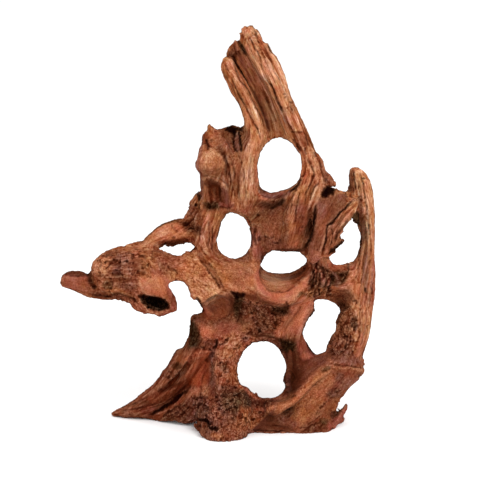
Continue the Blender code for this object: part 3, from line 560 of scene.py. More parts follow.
def lip(height, fall, darkness, *points):
    """A plate's edge: its left side stands up with a painted highlight, its right drops into painted shadow.
    """
    found, away, along, _ = beside(points, LIP_REACH)
    held = tapered(along)
    above = np.where(away > 0, np.exp(-((away / LIP_SLOPE) ** 2)), np.exp(-((away / fall) ** 2)))
    below = np.exp(-((away / fall + LIP_FOOT) ** 2))
    lift[found] += height * (above - LIP_UNDERCUT * below) * held * front[found]
    tint(found, below * held, darkness)
    tint(found, np.exp(-((away / fall - 1) ** 2)) * held, -LIP_HIGHLIGHT)


def stained(found, mask, tone, share, fibres, grits):
    """Blends a tone over the wood by a mask, and how fibrous and how gritty the wood is there."""
    painted[found] = np.maximum(painted[found], mask)
    if tone is not None:
        stain[found] += (share * mask)[:, None] * (tone - stain[found])
    if fibres is not None:
        fibre[found] += mask * (fibres - fibre[found])
    if grits is not None:
        grit[found] += mask * (grits - grit[found])


def oval(found, centre, half_width, half_height, turn, blur):
    """How far inside a turned oval each point is, from nought outside to one inside, with a soft edge."""
    tilt = math.radians(turn)
    right, above = across[found] - centre[0], up[found] - centre[1]
    x = (right * math.cos(tilt) + above * math.sin(tilt)) / half_width
    y = (above * math.cos(tilt) - right * math.sin(tilt)) / half_height
    return 1 - eased(np.hypot(x, y), 1 - blur, 1 + blur)


def reached(centre, half_width, half_height, blur):
    """The front points that such an oval may touch."""
    reach = max(half_width, half_height) * (1 + blur)
    return near((centre[0] - reach, centre[1] - reach), (centre[0] + reach, centre[1] + reach))


def pit(deep, darkness, centre, half_width, half_height, turn=0, blur=0.5):
    """A hollow in painted shade; a knob if its depth is negative, with a painted highlight if its darkness
    is.
    """
    found = reached(centre, half_width, half_height, blur)
    mask = oval(found, centre, half_width, half_height, turn, blur)
    lift[found] -= deep * mask * front[found]
    tint(found, mask, darkness)


def pocks(deep, darkness, turn, *spots, flatness=0.7):
    """Small oval holes: each spot is (across, up, half width)."""
    for spot_across, spot_up, half_width in spots:
        pit(deep, darkness, (spot_across, spot_up), half_width, half_width * flatness, turn)


def grooves(half_width, deep, darkness, *lines):
    """Splits or furrows of one kind."""
    for line in lines:
        groove(half_width, deep, darkness, *line)


def ribs(half_width, height, paleness, *lines):
    """Raised ribs of one kind."""
    for line in lines:
        rib(half_width, height, paleness, *line)


def speckled(deep, darkness, low, high, many, size, seed):
    """Small crooked chinks, strewn at random over a box on the drawing."""
    rows = np.random.default_rng(seed).uniform((*low, 0.6, 0, -1), (*high, 1.6, 2 * math.pi, 1), (many, 5))
    for spot_across, spot_up, big, turn, bow in rows:
        reach = np.array((math.cos(turn), math.sin(turn))) * size * big
        spot, aside = np.array((spot_across, spot_up)), np.array((-reach[1], reach[0])) * bow
        groove(size * (0.5 + 0.3 * big), deep, darkness, spot - reach, spot + aside, spot + reach)


def patch(tone, share, centre, half_width, half_height, turn=0, fibres=None, grits=None, blur=0.5):
    """A patch of other wood on the front."""
    found = reached(centre, half_width, half_height, blur)
    mask = oval(found, centre, half_width, half_height, turn, blur) * seen[found]
    stained(found, mask, tone, share, fibres, grits)


def zone(tone, share, centre, half_width, half_height, turn=0, fibres=None, grits=None, blur=0.5):
    """A stretch of wood of one kind, through and through: its front, its sides and its back."""
    before = painted.copy()
    mask = oval(np.arange(count), centre, half_width, half_height, turn, blur) * (1 - painted)
    stained(np.arange(count), mask, tone, share, fibres, grits)
    painted[:] = before


def band(tone, share, half_width, *points, fibres=None, grits=None):
    """A patch drawn as a broad line."""
    found, away, _, width = beside(points, BAND_REACH * half_width)
    mask = (1 - eased(np.abs(away) / (half_width * width), *BAND_EDGE)) * seen[found]
    stained(found, mask, tone, share, fibres, grits)


def field_of(tone, share, *corners, fibres=None, grits=None, blur=2.5, deep=0, darkness=0):
    """A patch with a drawn outline. It can be sunk or raised as well, and darkened."""
    outline = np.array([(*corner, 1.0) for corner in (*corners, corners[0])], float)
    found = near(outline[:, :2].min(0) - blur, outline[:, :2].max(0) + blur)
    away = np.abs(measured(found, outline)[0])
    inside = inside_outline(across[found], up[found], corners)
    mask = eased(np.where(inside, away, -away), -blur, blur)
    stained(found, mask * seen[found], tone, share, fibres, grits)
    lift[found] -= deep * mask * front[found]
    if darkness:
        tint(found, mask, darkness)


def flow(*points):
    """A line that the grain follows, through (across, up, depth) points."""
    grain_lines.append(np.array([placed(*point) for point in points]))


# The ground tones, under all else: the wood is a red-brown root, weathered paler towards its top and left
# darker near the foot. The colour rises evenly between two heights, in millimetres.
FOOT_HEIGHT, TOP_HEIGHT = 40, 300
FOOT_TONE, TOP_TONE = 0.75 * RUSSET, 0.8 * HONEY + 0.15 * TAN
stain[:] = FOOT_TONE + eased(up, FOOT_HEIGHT, TOP_HEIGHT)[:, None] * (TOP_TONE - FOOT_TONE)


# The split spar: the root's top end, torn and bleached. A slab on the right and a prong on the left stand
# apart at a black crack, with a smooth reddish channel between, and splinters fray the top.
zone(HONEY, 0.8, (8, 352), 48, 66, -15, fibres=1.0, grits=0.2)
flow((0, 411, -8), (14, 382, -10), (33, 342, -11), (48, 306, -10), (56, 292, -10), (61, 277, -8))
flow((-22, 378, -8), (-4, 342, -8), (7, 307, -8), (-1, 292, -6), (-6, 272, -5), (-6, 252, -4), (-8, 234, -2))
flow((-13, 390, 9), (5, 362, 9), (22, 322, 9), (26, 307, 8))
# The channel's own honey colour, painted paler as painted light to make up for the shade in it.
field_of(HONEY, 0.8, (-16, 404), (-6, 404), (-2, 392), (8, 376), (16, 352), (22, 330), (25, 310), (15, 316),
         (6, 340), (-6, 364), (-15, 380), (-24, 392), fibres=0.7, grits=0.1)
band(TAN, 0.5, 4, (2, 384), (8, 368), (15, 350), (21, 332), (26, 316))
band(RUSSET, 0.5, 3, (-4, 392), (1, 378), (6, 362), (12, 346))
band(ROSE, 0.6, 2.2, (-16, 398), (-12, 390), (-8, 381), (-4, 372), (1, 362))
band(RUSSET, 0.8, 2.2, (6, 350), (11, 338), (15, 327), (19, 312))
band(TAN, 0.65, 8, (2, 408), (10, 390), (21, 372), (31, 352), (38, 336), fibres=1.0)
band(BLEACHED, 0.3, 3.4, (16, 396), (25, 379), (33, 360), (39, 344))
band(BLEACHED, 0.3, 2, (0, 412), (4, 402), (9, 391))
band(TAN, 0.8, 3.4, (-19, 376), (-12, 361), (-5, 347), (2, 333), (8, 320), (13, 306))
band(HONEY, 0.6, 3, (-26, 378), (-20, 366), (-12, 350), (-5, 335))
band(TAN, 0.6, 4, (36, 340), (44, 326), (52, 314))
band(MAUVE, 0.45, 3.2, (32, 332), (36, 322), (42, 313))
patch(MAUVE, 0.35, (41, 334), 5, 7, -30, fibres=0.7, grits=0.8)
patch(MAUVE, 0.4, (16, 365), 4, 3, -30)
patch(BLEACHED, 0.5, (-21, 378), 3, 4)
patch(SALMON, 0.6, (-2, 411), 4, 3)
band(OLIVE, 0.4, 1.4, (16, 344), (21, 333), (25, 322))
field_of(RED, 0.7, (-23, 394), (-16, 402), (-11, 402), (-8, 396), (-12, 385), (-16, 383), (-23, 386),
         fibres=0.8)
field_of(CHOCOLATE, 0.7, (-22, 390), (-18, 393), (-15, 387), (-14, 381), (-18, 383), (-22, 385),
         darkness=0.25, blur=2)
groove(1.6, 1.8, 0.85, (-13, 402), (-9, 396), (-6, 391), (-3.4, 385.6))
groove(1.0, 1.0, 0.5, (-17, 397), (-14.6, 391), (-13.4, 386))
pit(-1.4, -0.2, (-22, 379), 6, 5)
groove(1.4, 3.4, 1.0, (-17.6, 386, 1.1), (-14, 379, 1.3), (-11, 373.6, 1.1), (-8, 369), (-5, 364, 0.8),
       (-2, 359, 0.7), (1, 353, 0.5))
groove(1.8, 1.4, 0.5, (-2, 360, 0.6), (3, 351), (8, 341), (12, 331), (16, 321), (20, 309))
groove(1.0, 1.2, 0.75, (-18, 382), (-14.5, 373), (-11, 365), (-8, 359.5), (-4.5, 355.5), (-1, 350), (3, 342),
       (7, 334), (11, 325), (15, 315.5))
groove(1.0, 1.2, 0.8, (-19, 364), (-15, 356), (-11, 347), (-7, 339.5), (-3, 332.5), (0.5, 325.5), (4.5, 318),
       (8.5, 310), (12, 302))
groove(0.8, 0.9, 0.55, (-27.5, 373), (-24, 365), (-20, 357.5), (-15.5, 349), (-11, 340), (-8, 333))
groove(0.8, 0.9, 0.5, (-25, 378), (-23, 372), (-20.5, 368))
groove(0.9, 1.1, 0.75, (-2, 408), (3, 398), (7, 390), (10, 384), (11, 378), (13.4, 371))
groove(1.0, 1.3, 0.85, (4, 413), (7, 405), (9, 400), (12, 397.6))
groove(0.9, 1.0, 0.85, (16.8, 398), (18.6, 394.6), (20.6, 391), (22.6, 387.6))
groove(0.9, 1.0, 0.5, (14, 397), (18, 388), (21, 381), (23, 372), (25, 368))
groove(0.9, 1.2, 0.8, (24, 370), (28, 364), (31, 359))
groove(1.2, 1.7, 0.95, (17, 363), (20, 358), (23, 352), (25, 347), (28, 340), (30.5, 334), (33, 328, 0.6))
grooves(0.8, 0.8, 0.4, ((33, 328), (36, 320), (41, 312)), ((-5, 404), (0, 394), (4, 384), (7, 374)))
groove(0.8, 0.8, 0.3, (5, 374), (10, 362), (14, 350), (19, 338))
grooves(0.8, 0.8, 0.35, ((1, 412), (6, 400), (12, 388), (17, 376)),
        ((9, 395), (15, 383), (20, 370), (26, 356)))
groove(0.8, 0.9, 0.35, (30, 360), (35, 349), (40, 338), (45, 327))
rib(1.4, 0.8, 0.3, (-21.5, 379), (-18, 371), (-14, 362.5), (-10, 354), (-5.5, 345), (-1, 337), (3.5, 328.5),
    (8, 319), (12, 309))
rib(1.4, 0.8, 0.15, (11, 398), (16, 386), (23, 372), (30, 356), (36, 342))
pit(0.8, 0.6, (34, 348), 1.4, 1.0)
pit(0.8, 0.6, (35, 345), 1.2, 0.9)
pit(0.8, 0.6, (41, 340), 1.8, 1.0)
field_of(RED, 0.7, (42, 309), (50, 310.6), (56, 310), (59, 301), (56, 295), (50, 296), (45, 301), fibres=0.5,
         grits=0.5, blur=1)
field_of(SALMON, 0.95, (45, 307), (50, 309.6), (54, 309), (55, 302), (51, 297), (46, 301), fibres=0.5,
         blur=1.5)
pit(0, -0.4, (50, 304), 4, 3.4, -30)
groove(1.0, 1.0, 0.6, (41, 310.4), (47, 310), (54, 310.6))
groove(1.1, 0.6, 0.7, (55, 309, 0.7), (56.6, 304), (57.6, 298), (58, 296, 0.6))
rib(1.0, 0.7, 0.3, (48, 298), (52, 296), (57, 295))


# The knobbed shoulder and the stem behind it: a round pale knob over a deep red recess, with a broken, spiked
# rim above, and a bleached stem that runs down from the spar beside it.
zone(UMBER, 0.5, (-28, 276), 34, 44, 0, fibres=0.9, grits=0.25)
flow((-30, 299, 6), (-32, 272, 2), (-33, 233, 4), (-40, 222, 2), (-44, 190, -4), (-40, 176, -8))
field_of(HONEY, 0.4, (-52, 292), (-46, 308), (-33, 310), (-26, 298), (-24, 284), (-26, 268), (-40, 262),
         (-52, 270), fibres=0.5, grits=0.35)
# Painted light and shade on the knob: its top is painted tan and its lower half umber.
patch(TAN, 0.8, (-41, 286), 10, 7, 0)
patch(UMBER, 0.6, (-38, 269), 13, 6, 0)
band(UMBER, 0.4, 4, (-34, 304), (-26, 298), (-20, 288))
pit(-2.6, -0.2, (-38, 280), 12, 14)
pit(-1.6, 0, (-40, 270), 10, 6)
band(RUSSET, 0.5, 4, (-36, 308), (-28, 304), (-22, 298))
# The left rim's dark mauve: partly its colour, partly painted shade where it turns from the light.
band(MAUVE, 0.6, 2.2, (-47, 308), (-50, 294), (-53, 277), (-49, 264), (-48, 244))
field_of(RED, 0.8, (-47, 309), (-42.5, 311), (-40.5, 300), (-40, 294), (-45, 295), (-47, 301), fibres=0.5,
         deep=0.8, darkness=0.1, blur=1.5)
band(HONEY, 0.6, 2, (-40, 316), (-39, 310), (-37, 304))
field_of(CHOCOLATE, 0.6, (-31, 312), (-23, 315), (-16, 317), (-17, 301), (-20, 297), (-27, 304), fibres=0.5,
         grits=0.4, blur=3)
field_of(UMBER, 0.8, (-8, 312), (-2, 312), (1, 300), (1, 290), (-5, 292), (-8, 298), fibres=0.8, blur=2)
field_of(MAUVE, 0.7, (-15, 310), (-11, 310), (-10, 292), (-14, 290), (-17, 300), blur=1.5)
# Painted shade: the black in the split crown.
field_of(SHADE_BLACK, 0.9, (-22, 317), (-7, 314), (-8, 310), (-13, 311.5), (-16, 304), (-19, 309), (-25, 312),
         deep=1.0, darkness=0.85, blur=1.6)
groove(1.5, 2.4, 1.0, (-11, 312, 0.8), (-10.5, 304), (-9.5, 297, 1.1), (-9, 290, 0.9))
groove(1.1, 1.6, 0.9, (-15.5, 313), (-16.5, 306), (-17, 299), (-15, 293), (-12, 288))
groove(1.6, 1.8, 0.9, (-43.5, 303), (-42.4, 298), (-42, 293.6))
groove(0.9, 0.4, 0.25, (-50, 273), (-42, 270.5), (-34, 271), (-28, 275))
groove(0.9, 0.4, 0.2, (-48, 283), (-42, 281), (-34, 282))
pit(0.8, 0.45, (-38.5, 302), 1.4, 1.4)
# Painted shade down the knob's right side.
band(UMBER, 0.7, 2.6, (-31, 295), (-26, 288), (-23, 279), (-22, 270), (-19, 262))
groove(1.6, 1.8, 0.5, (-31, 293), (-26.5, 287), (-24, 280), (-24, 272), (-23, 265))
lip(1.0, 1.3, 0.5, (-22, 252), (-25.5, 256.5), (-30, 260), (-37, 262.5), (-44, 264), (-49, 264))
band(TAN, 0.9, 1.5, (-41, 265.4), (-34, 263.8), (-29, 261.8), (-25.6, 258), (-24, 254))
field_of(RED, 0.85, (-44, 262), (-36, 260), (-27, 256), (-22, 247), (-20, 236), (-30, 232), (-42, 230),
         (-44, 240), fibres=0.5, grits=0.2, deep=0.3, blur=3)
band(MAUVE, 0.6, 3.5, (-26, 252), (-24, 245), (-22, 238))
band(CHOCOLATE, 0.7, 4.5, (-41, 259), (-34, 254), (-31, 246), (-30, 238), fibres=0.3)
groove(2.2, 0.8, 0.4, (-43, 262), (-36, 259.5), (-30, 256))
groove(1.4, 1.0, 0.65, (-31, 257), (-30, 248), (-29, 239))
grooves(1.2, 1.0, 0.5, ((-40, 261), (-39.5, 250), (-38, 238)), ((-30, 235), (-22, 234), (-16, 237)))
rib(1.3, 0.6, 0.2, (-36.4, 255), (-35.6, 248), (-35, 240))
rib(1.4, 0.6, 0.25, (-43, 259), (-42.5, 247), (-42, 239))
groove(1.3, 1.0, 0.6, (-44, 236), (-38, 235), (-32, 236))
field_of(OLIVE, 0.8, (-47, 240), (-36, 241), (-30, 238), (-31, 232), (-46, 232), grits=1.0, darkness=0.3,
         blur=2.5)
band(ROSE, 0.6, 2.4, (-29, 237), (-23, 236), (-18, 238))
band(TAN, 0.85, 5, (2, 297), (3, 282), (3, 266), (4, 252), fibres=0.5)
band(TAN, 0.3, 6, (-10, 286), (-11, 270), (-12, 254), (-10, 240), fibres=0.6)
band(UMBER, 0.3, 5, (-20, 280), (-19, 264), (-18, 250), fibres=0.8)
patch(BLEACHED, 0.55, (0, 264), 5, 20, 0)
band(RUSSET, 0.5, 3, (-20, 290), (-15, 280), (-12, 268))
band(SALMON, 0.5, 2, (5, 292), (6, 276), (7, 262))
groove(1.0, 1.4, 0.5, (-27, 290), (-24, 283), (-21, 272), (-19, 262), (-18, 250))
groove(0.8, 1.1, 0.4, (-19, 281), (-17, 276), (-16, 270), (-15, 262))
groove(0.9, 1.0, 0.35, (-14, 290), (-11, 284), (-9, 279), (-7, 273), (-6, 268), (-6, 258))
groove(0.8, 0.8, 0.4, (-8, 268), (-6, 260), (-4, 250), (-4, 240))
grooves(0.7, 0.7, 0.35, ((0, 296), (0.5, 284), (0, 272), (1, 260)), ((-13, 268), (-12, 256), (-11, 244)))
rib(1.3, 0.7, 0.3, (-24.5, 270), (-22.5, 262), (-21, 253))
rib(1.3, 0.6, 0.25, (-18.5, 268), (-17, 258), (-16, 248))
groove(1.9, 1.6, 1.0, (-52, 250), (-51, 245), (-51.5, 240))
pit(1.0, 1.0, (-54, 237), 1.5, 1.5)
groove(1.0, 1.0, 0.9, (-52, 241), (-51.5, 237), (-51, 233))
field_of(UMBER, 0.7, (-62, 240), (-54, 236), (-48, 230), (-48, 220), (-60, 219), (-64, 228), grits=1.1,
         darkness=0.15, blur=4)
pit(0.8, 0.7, (7.5, 227), 1.4, 1.4)
band(SALMON, 0.6, 3, (3, 255), (8, 249), (15, 244))


# The flank and its flap: two brown plates with a long black crack between them. The right plate tapers to a
# tip under the horn eye, and its torn right edge is a pale ridge with barbs.
zone(UMBER, 0.55, (45, 225), 62, 50, -10, fibres=0.75, grits=0.35)
flow((24, 240, 2), (38, 208, 2))
flow((61, 277, -8), (60, 257, -12), (50, 237, -16), (44, 217, -18), (40, 199, -16))
flow((103, 238, -42), (79, 210, -43), (74, 193, -42))
flow((87, 245, -29), (70, 202, -35), (63, 183, -28))
flow((-8, 234, -2), (22, 242, -6), (46, 252, -8))
field_of(RUSSET, 0.75, (42, 310), (56, 312), (63, 297), (72, 282), (80, 266), (84, 256), (72, 250), (64, 240),
         (56, 244), (48, 262), (50, 282), fibres=1.2, grits=0.4)
band(TAN, 0.6, 5, (60, 290), (66, 278), (70, 266), (68, 252), (64, 242), fibres=0.9)
band(HONEY, 0.7, 6, (54, 284), (58, 270), (54, 256), (50, 244), (44, 236), fibres=0.9)
band(SALMON, 0.5, 2.4, (53, 290), (54, 278), (53, 266))
band(MAUVE, 0.4, 4, (76, 270), (80, 262), (83, 256))
groove(0.9, 0.5, 0.7, (42.6, 304), (45, 299.4), (47.6, 295.4), (49.6, 290.6))
grooves(0.9, 1.2, 0.7, ((54, 294), (55, 290), (57, 287)),
        ((69.5, 259), (64.3, 254.6), (62.5, 250), (61, 247), (60, 240)))
groove(1.2, 1.8, 0.85, (63, 290), (64.5, 287.5), (66, 285))
groove(1.0, 1.5, 0.75, (57, 285.5), (60, 278), (62.5, 273), (63.3, 265.6), (60.7, 258.3), (57, 251),
       (55.6, 245), (55, 238))
groove(0.9, 1.2, 0.65, (43.8, 249.5), (42, 242), (41.2, 235.6), (40, 226))
groove(0.8, 1.0, 0.6, (50, 250), (48, 240), (46, 230), (46, 220))
groove(1.5, 1.8, 0.9, (38, 250), (44, 253.6), (48.4, 258.6), (51.4, 265))
band(MAUVE, 0.8, 2.8, (10, 251), (20, 246), (30, 246.6), (38, 249))
groove(1.3, 0.6, 0.35, (8, 249), (18, 244.6), (28, 245), (36, 248))
groove(0.8, 1.0, 0.55, (70, 282), (72, 274), (74, 266), (75, 258))
# Painted shade: the black inside the hole by the flap.
field_of(SHADE_BLACK, 0.9, (76, 256), (80, 256), (85, 252), (83, 247), (80, 248), (78, 245), (72, 245), (71, 247.5),
         (74, 252), deep=3.5, darkness=0.95, blur=1.6)
field_of(UMBER, 0.85, (68, 244), (78, 246), (88, 248), (99, 248), (96, 236), (86, 224), (78, 218), (74, 206),
         (70, 192), (62, 190), (62, 206), (66, 226), fibres=0.5, grits=0.25)
field_of(RUSSET, 0.6, (66, 236), (76, 240), (80, 228), (76, 212), (70, 206), (66, 218))
patch(MAUVE, 0.5, (72, 232), 5, 8)
band(HONEY, 0.5, 2.5, (92, 250), (98, 248), (104, 244))
field_of(UMBER, 0.85, (8, 232), (24, 240), (40, 240), (54, 240), (58, 222), (57, 204), (50, 194), (24, 192),
         (10, 200), fibres=0.4, grits=0.4, blur=6)
field_of(RUSSET, 0.8, (38, 236), (54, 236), (58, 222), (57, 206), (50, 195), (40, 195), (38, 214), fibres=0.7)
band(MAUVE, 0.5, 4, (50, 232), (52, 222))
patch(HONEY, 0.5, (48, 200), 9, 6)
patch(HONEY, 0.4, (41, 222), 3, 12)
patch(HONEY, 0.3, (24, 216), 16, 13)
patch(OLIVE, 0.25, (16, 226), 14, 8)
groove(2.1, 4.0, 1.0, (66, 239, 0.6), (65, 231, 0.9), (64, 222, 1.1), (62.8, 214, 1.1), (62, 207),
       (60.6, 202, 0.9), (57, 196.6, 0.7), (52.6, 191, 0.7))
# Painted shade spreading left of the crack.
groove(3.6, 1.0, 0.5, (62, 234), (60.6, 222), (59.4, 211), (59, 204))
band(TAN, 0.7, 4, (107, 243), (102, 236), (96, 229), (91, 222), (86, 212), fibres=0.9)
band(OLIVE, 0.4, 1.8, (98, 231), (92, 224), (86, 216))
band(RUSSET, 0.6, 4, (86, 214), (83, 204), (80, 194), (76, 187))
patch(TAN, 0.6, (99, 233), 4, 2.4, 40)
pit(-1.2, -0.4, (106, 241), 4, 3, 40)
groove(1.4, 2.4, 0.98, (104.5, 243), (100, 239), (95, 233.6), (90, 229), (85.6, 223.4), (82, 218.8),
       (79, 217.6, 0.8), (77.4, 214, 0.8), (76.4, 207, 0.7), (75.5, 201, 0.7), (74, 195, 0.7),
       (72.5, 190, 0.6))
groove(0.8, 1.1, 0.65, (81, 214), (83, 207), (81, 199), (79, 192))
groove(0.7, 0.9, 0.6, (90, 219), (88, 212), (86, 205))
lip(0.9, 1.4, 0.85, (100, 222), (95, 215), (90, 207), (86, 199))
# Painted shade: black along the horn eye's torn lower edge.
field_of(SHADE_BLACK, 0.85, (80, 192), (86, 196), (92, 201), (95, 203), (95, 201), (88, 193), (84, 189), (78, 187),
         darkness=0.8, blur=1.4)
field_of(ROSE, 0.7, (58, 184), (62, 190), (70, 190), (72, 183), (66, 177), (60, 179), fibres=0.4)
pit(-1.2, -0.3, (65, 184), 6, 6)
groove(0.7, 0.8, 0.6, (71, 182), (67, 178.5), (62, 178), (58, 181))
groove(0.9, 0.9, 0.5, (14, 206.5), (16, 204.5), (18.5, 203.8), (21, 204), (23.5, 206))
pit(1.0, 0.6, (30, 201.5), 1.5, 1.2)
pit(0.9, 0.5, (52, 215), 1.8, 1.5, 30)
pit(0.9, 0.5, (26, 199.5), 4, 1.2)
groove(1.2, 1.2, 0.75, (23, 192.4), (34, 191.6), (44, 191.4), (53, 191.6))
groove(1.6, 1.4, 0.8, (5.5, 214), (5, 208), (4.8, 202), (5.5, 196))
pit(1.0, 0.7, (9, 203), 2, 2.6)
# Painted shadow under the rim of the top eye, darkest at its right end.
field_of(CHOCOLATE, 0.6, (6, 240), (20, 241), (33, 245), (34, 240), (29, 234), (20, 230), (10, 234), blur=5,
         deep=0.5, grits=0.2, darkness=0.1)
field_of(OLIVE, 0.4, (12, 240), (24, 242), (32, 243), (30, 237), (22, 232), blur=5)
groove(2.2, 1.2, 0.9, (34.6, 244.6, 0.8), (32, 240.4, 1.2), (28, 237, 1.1), (24, 235, 0.8), (19, 233, 0.5))
groove(3.4, 0.4, 0.45, (34, 243), (28, 238), (20, 236), (11, 238))


# The left arm: a burl on a hollowed branch. It reaches out from the shoulder to a blunt stub, with a smooth
# orange scoop on its underside and, over a slit, a thin upper link back to the shoulder.
zone(RUSSET, 0.7, (-125, 170), 70, 50, 0, fibres=0.7, grits=0.7)
flow((-28, 167, -12), (-46, 166, -16), (-76, 174, -18), (-108, 171, -20), (-140, 168, -14))
flow((-42, 228, 6), (-60, 214, 8), (-89, 205, 6), (-118, 190, -8))
flow((-92, 176, -24), (-90, 160, -28), (-86, 146, -28), (-79, 136, -24))
flow((-148, 158, -8), (-187, 162, -1))
patch(HONEY, 0.45, (-118, 182), 34, 18, -25)
patch(TAN, 0.95, (-151, 177), 8, 9, 10, fibres=0.3, grits=0.8)
patch(TAN, 0.6, (-142, 186), 10, 6, 20)
pit(-1.4, -0.2, (-150, 176), 9, 9)
groove(0.8, 0.9, 0.6, (-155, 181), (-150, 181), (-148, 177), (-151, 174), (-154, 176))
groove(0.8, 0.9, 0.5, (-158, 175), (-156, 169), (-151, 166), (-145, 168))
grooves(1.0, 1.2, 0.6, ((-146, 184), (-141, 187), (-136, 186)), ((-147, 179), (-142, 181), (-137, 179)),
        ((-145, 173), (-141, 176), (-139, 180)), ((-126, 187), (-121, 189), (-116, 186)),
        ((-112, 184), (-108, 186), (-103, 183)), ((-128, 178), (-124, 181), (-121, 177)))
field_of(ROSE, 0.8, (-187, 168), (-186, 156), (-176, 152), (-166, 150), (-160, 156), (-160, 168), (-172, 171),
         fibres=0.35, grits=0.2)
patch(RUSSET, 0.6, (-164, 157), 6, 6)
band(CHOCOLATE, 0.85, 2.4, (-184, 169), (-177, 169.6), (-169, 168.6), (-162, 168), fibres=0.4)
rib(1.0, 0.5, 0.35, (-187, 164.6), (-180, 164), (-172, 164.6))
grooves(0.9, 1.0, 0.7, ((-181, 166.4), (-176, 166.4), (-170, 166.6)), ((-158, 147), (-148, 146), (-138, 145)))
# Painted shade: black where the stub meets the arm.
field_of(SHADE_BLACK, 0.6, (-163, 168), (-159, 168), (-156, 160), (-155, 155), (-159, 157), (-162, 162),
         darkness=0.4, deep=1.2, blur=2)
pit(1.4, 0.85, (-156, 155), 2.5, 2)
patch(MAUVE, 0.8, (-132, 168), 5, 4.5)
patch(MAUVE, 0.7, (-130, 180), 9, 11, 10, grits=0.9)
patch(MAUVE, 0.5, (-118, 176), 8, 12, 0)
patch(UMBER, 0.5, (-122, 158), 12, 8, -10)
band(RUSSET, 0.6, 2.4, (-113, 188), (-113, 178), (-114, 166))
patch(UMBER, 0.7, (-140, 188), 6, 4, 10)
pit(1.2, 0.5, (-133, 168.6), 4.2, 3.2)
groove(0.9, 1.0, 0.9, (-138, 170), (-134, 171.6), (-129, 170))
rib(1.2, 0.7, 0.3, (-128, 171), (-126, 167), (-128, 163.5))
speckled(0.9, 0.4, (-152, 162), (-96, 192), 45, 1.1, 41)
pocks(1.2, 0.45, 30, (-134, 181, 2.0), (-131, 174, 2.0), (-118, 184, 1.7), (-102, 177, 1.8), (-106, 169, 2.0))
patch(OLIVE, 0.7, (-143, 157), 5, 4.6)
rib(1.0, 0.8, 0.3, (-146.6, 157), (-145, 160), (-141, 161))
groove(1.1, 1.2, 0.75, (-141, 161.6), (-138, 159.6), (-138, 155), (-141, 152.6))
field_of(CHOCOLATE, 0.7, (-160, 150), (-144, 150), (-128, 150), (-116, 146), (-112, 138), (-118, 137),
         (-134, 141), (-156, 143))
band(HONEY, 0.5, 2.5, (-142, 150), (-130, 150), (-119, 146))
groove(1.2, 1.3, 0.7, (-141, 148.6), (-128, 147.4), (-118, 143.6), (-112, 139.6))
band(RUSSET, 0.8, 2.2, (-128, 145), (-119, 140), (-111, 134), (-102, 130.6))
patch(UMBER, 0.7, (-126, 160), 12, 7, -10, grits=0.8)
patch(UMBER, 0.6, (-112, 176), 9, 8, -20, grits=0.7)
field_of(SALMON, 0.95, (-109, 164), (-100, 166), (-92, 172), (-82, 168), (-76, 158), (-76, 148), (-92, 146),
         (-106, 148), (-112, 152), fibres=0.15, grits=0.1, blur=4)
band(ROSE, 0.5, 3, (-98, 172), (-88, 166), (-82, 158), (-79, 148))
patch(BLEACHED, 0.35, (-100, 157), 6, 5, 20)
patch(HONEY, 0.45, (-92, 160), 9, 8)
rib(1.5, 1.2, 0.9, (-111, 163), (-109.5, 157), (-106, 150), (-101, 146.5), (-94, 145.5))
# Painted shade: the dark inside the tunnel's mouth.
field_of(SHADE_BLACK, 0.92, (-112, 146), (-103, 145), (-92, 144), (-86, 142), (-81, 138), (-80, 133.5),
         (-88, 131.5), (-97, 131.5), (-102, 133.5), (-107, 140), deep=3.5, darkness=0.25, blur=1.6,
         fibres=0.2, grits=1.2)
field_of(OLIVE, 0.55, (-109, 143), (-96, 142), (-86, 138), (-86, 134), (-100, 134))
pit(0, -0.2, (-92, 134), 9, 2.4, 8)
groove(1.6, 1.0, 0.9, (-111, 145.5), (-102, 145), (-93, 144), (-86, 141.5))
rib(1.5, 1.4, 0.85, (-113, 146), (-108, 141), (-104.5, 136), (-102.5, 131), (-98, 128.6), (-92, 128))
band(ROSE, 0.8, 4, (-80, 152), (-77.5, 143), (-77, 134), (-84, 128), fibres=0.4)
field_of(HONEY, 0.85, (-108, 203), (-98, 211), (-86, 218), (-76, 222), (-68, 221), (-62, 206), (-76, 202),
         (-94, 202), (-112, 194), fibres=0.4, grits=0.2)
patch(SALMON, 0.7, (-80, 210), 18, 8, 15)
# Painted highlight along the top of the link.
patch(BLEACHED, 0.6, (-87, 210), 7, 4, 25)
band(OLIVE, 0.6, 2.2, (-108, 202.6), (-98, 211.6), (-86, 219), (-72, 223))
# Painted highlight where the link starts.
patch(TAN, 0.8, (-101, 197), 9, 4.5)
groove(1.0, 0.8, 0.4, (-79, 218), (-77, 215), (-75, 213), (-72, 210))
pit(1.0, 0.5, (-76, 204), 1.6, 1.4)
field_of(CHOCOLATE, 0.8, (-72, 221), (-62, 222), (-54, 219), (-46, 211), (-49, 206), (-56, 209), (-66, 212),
         grits=1.1, deep=0.8, darkness=0.3, blur=3)
pit(1.4, 0.7, (-64, 217), 3.6, 2.0, -15)
pit(1.4, 0.6, (-51, 213), 2.6, 3.0)
pit(-1.2, -0.2, (-58, 225), 3, 2.6)
pit(-1.0, -0.2, (-53, 223), 2.2, 2.2)
pit(1.0, 0.8, (-58, 213), 3, 1.2)
# Painted shadow along the top edge of the slit, under the link.
band(RED, 0.8, 2.6, (-90, 199), (-78, 200), (-66, 202), (-58, 202))
groove(1.2, 1.2, 0.55, (-90, 197.6), (-80, 198), (-70, 199.8), (-62, 201))


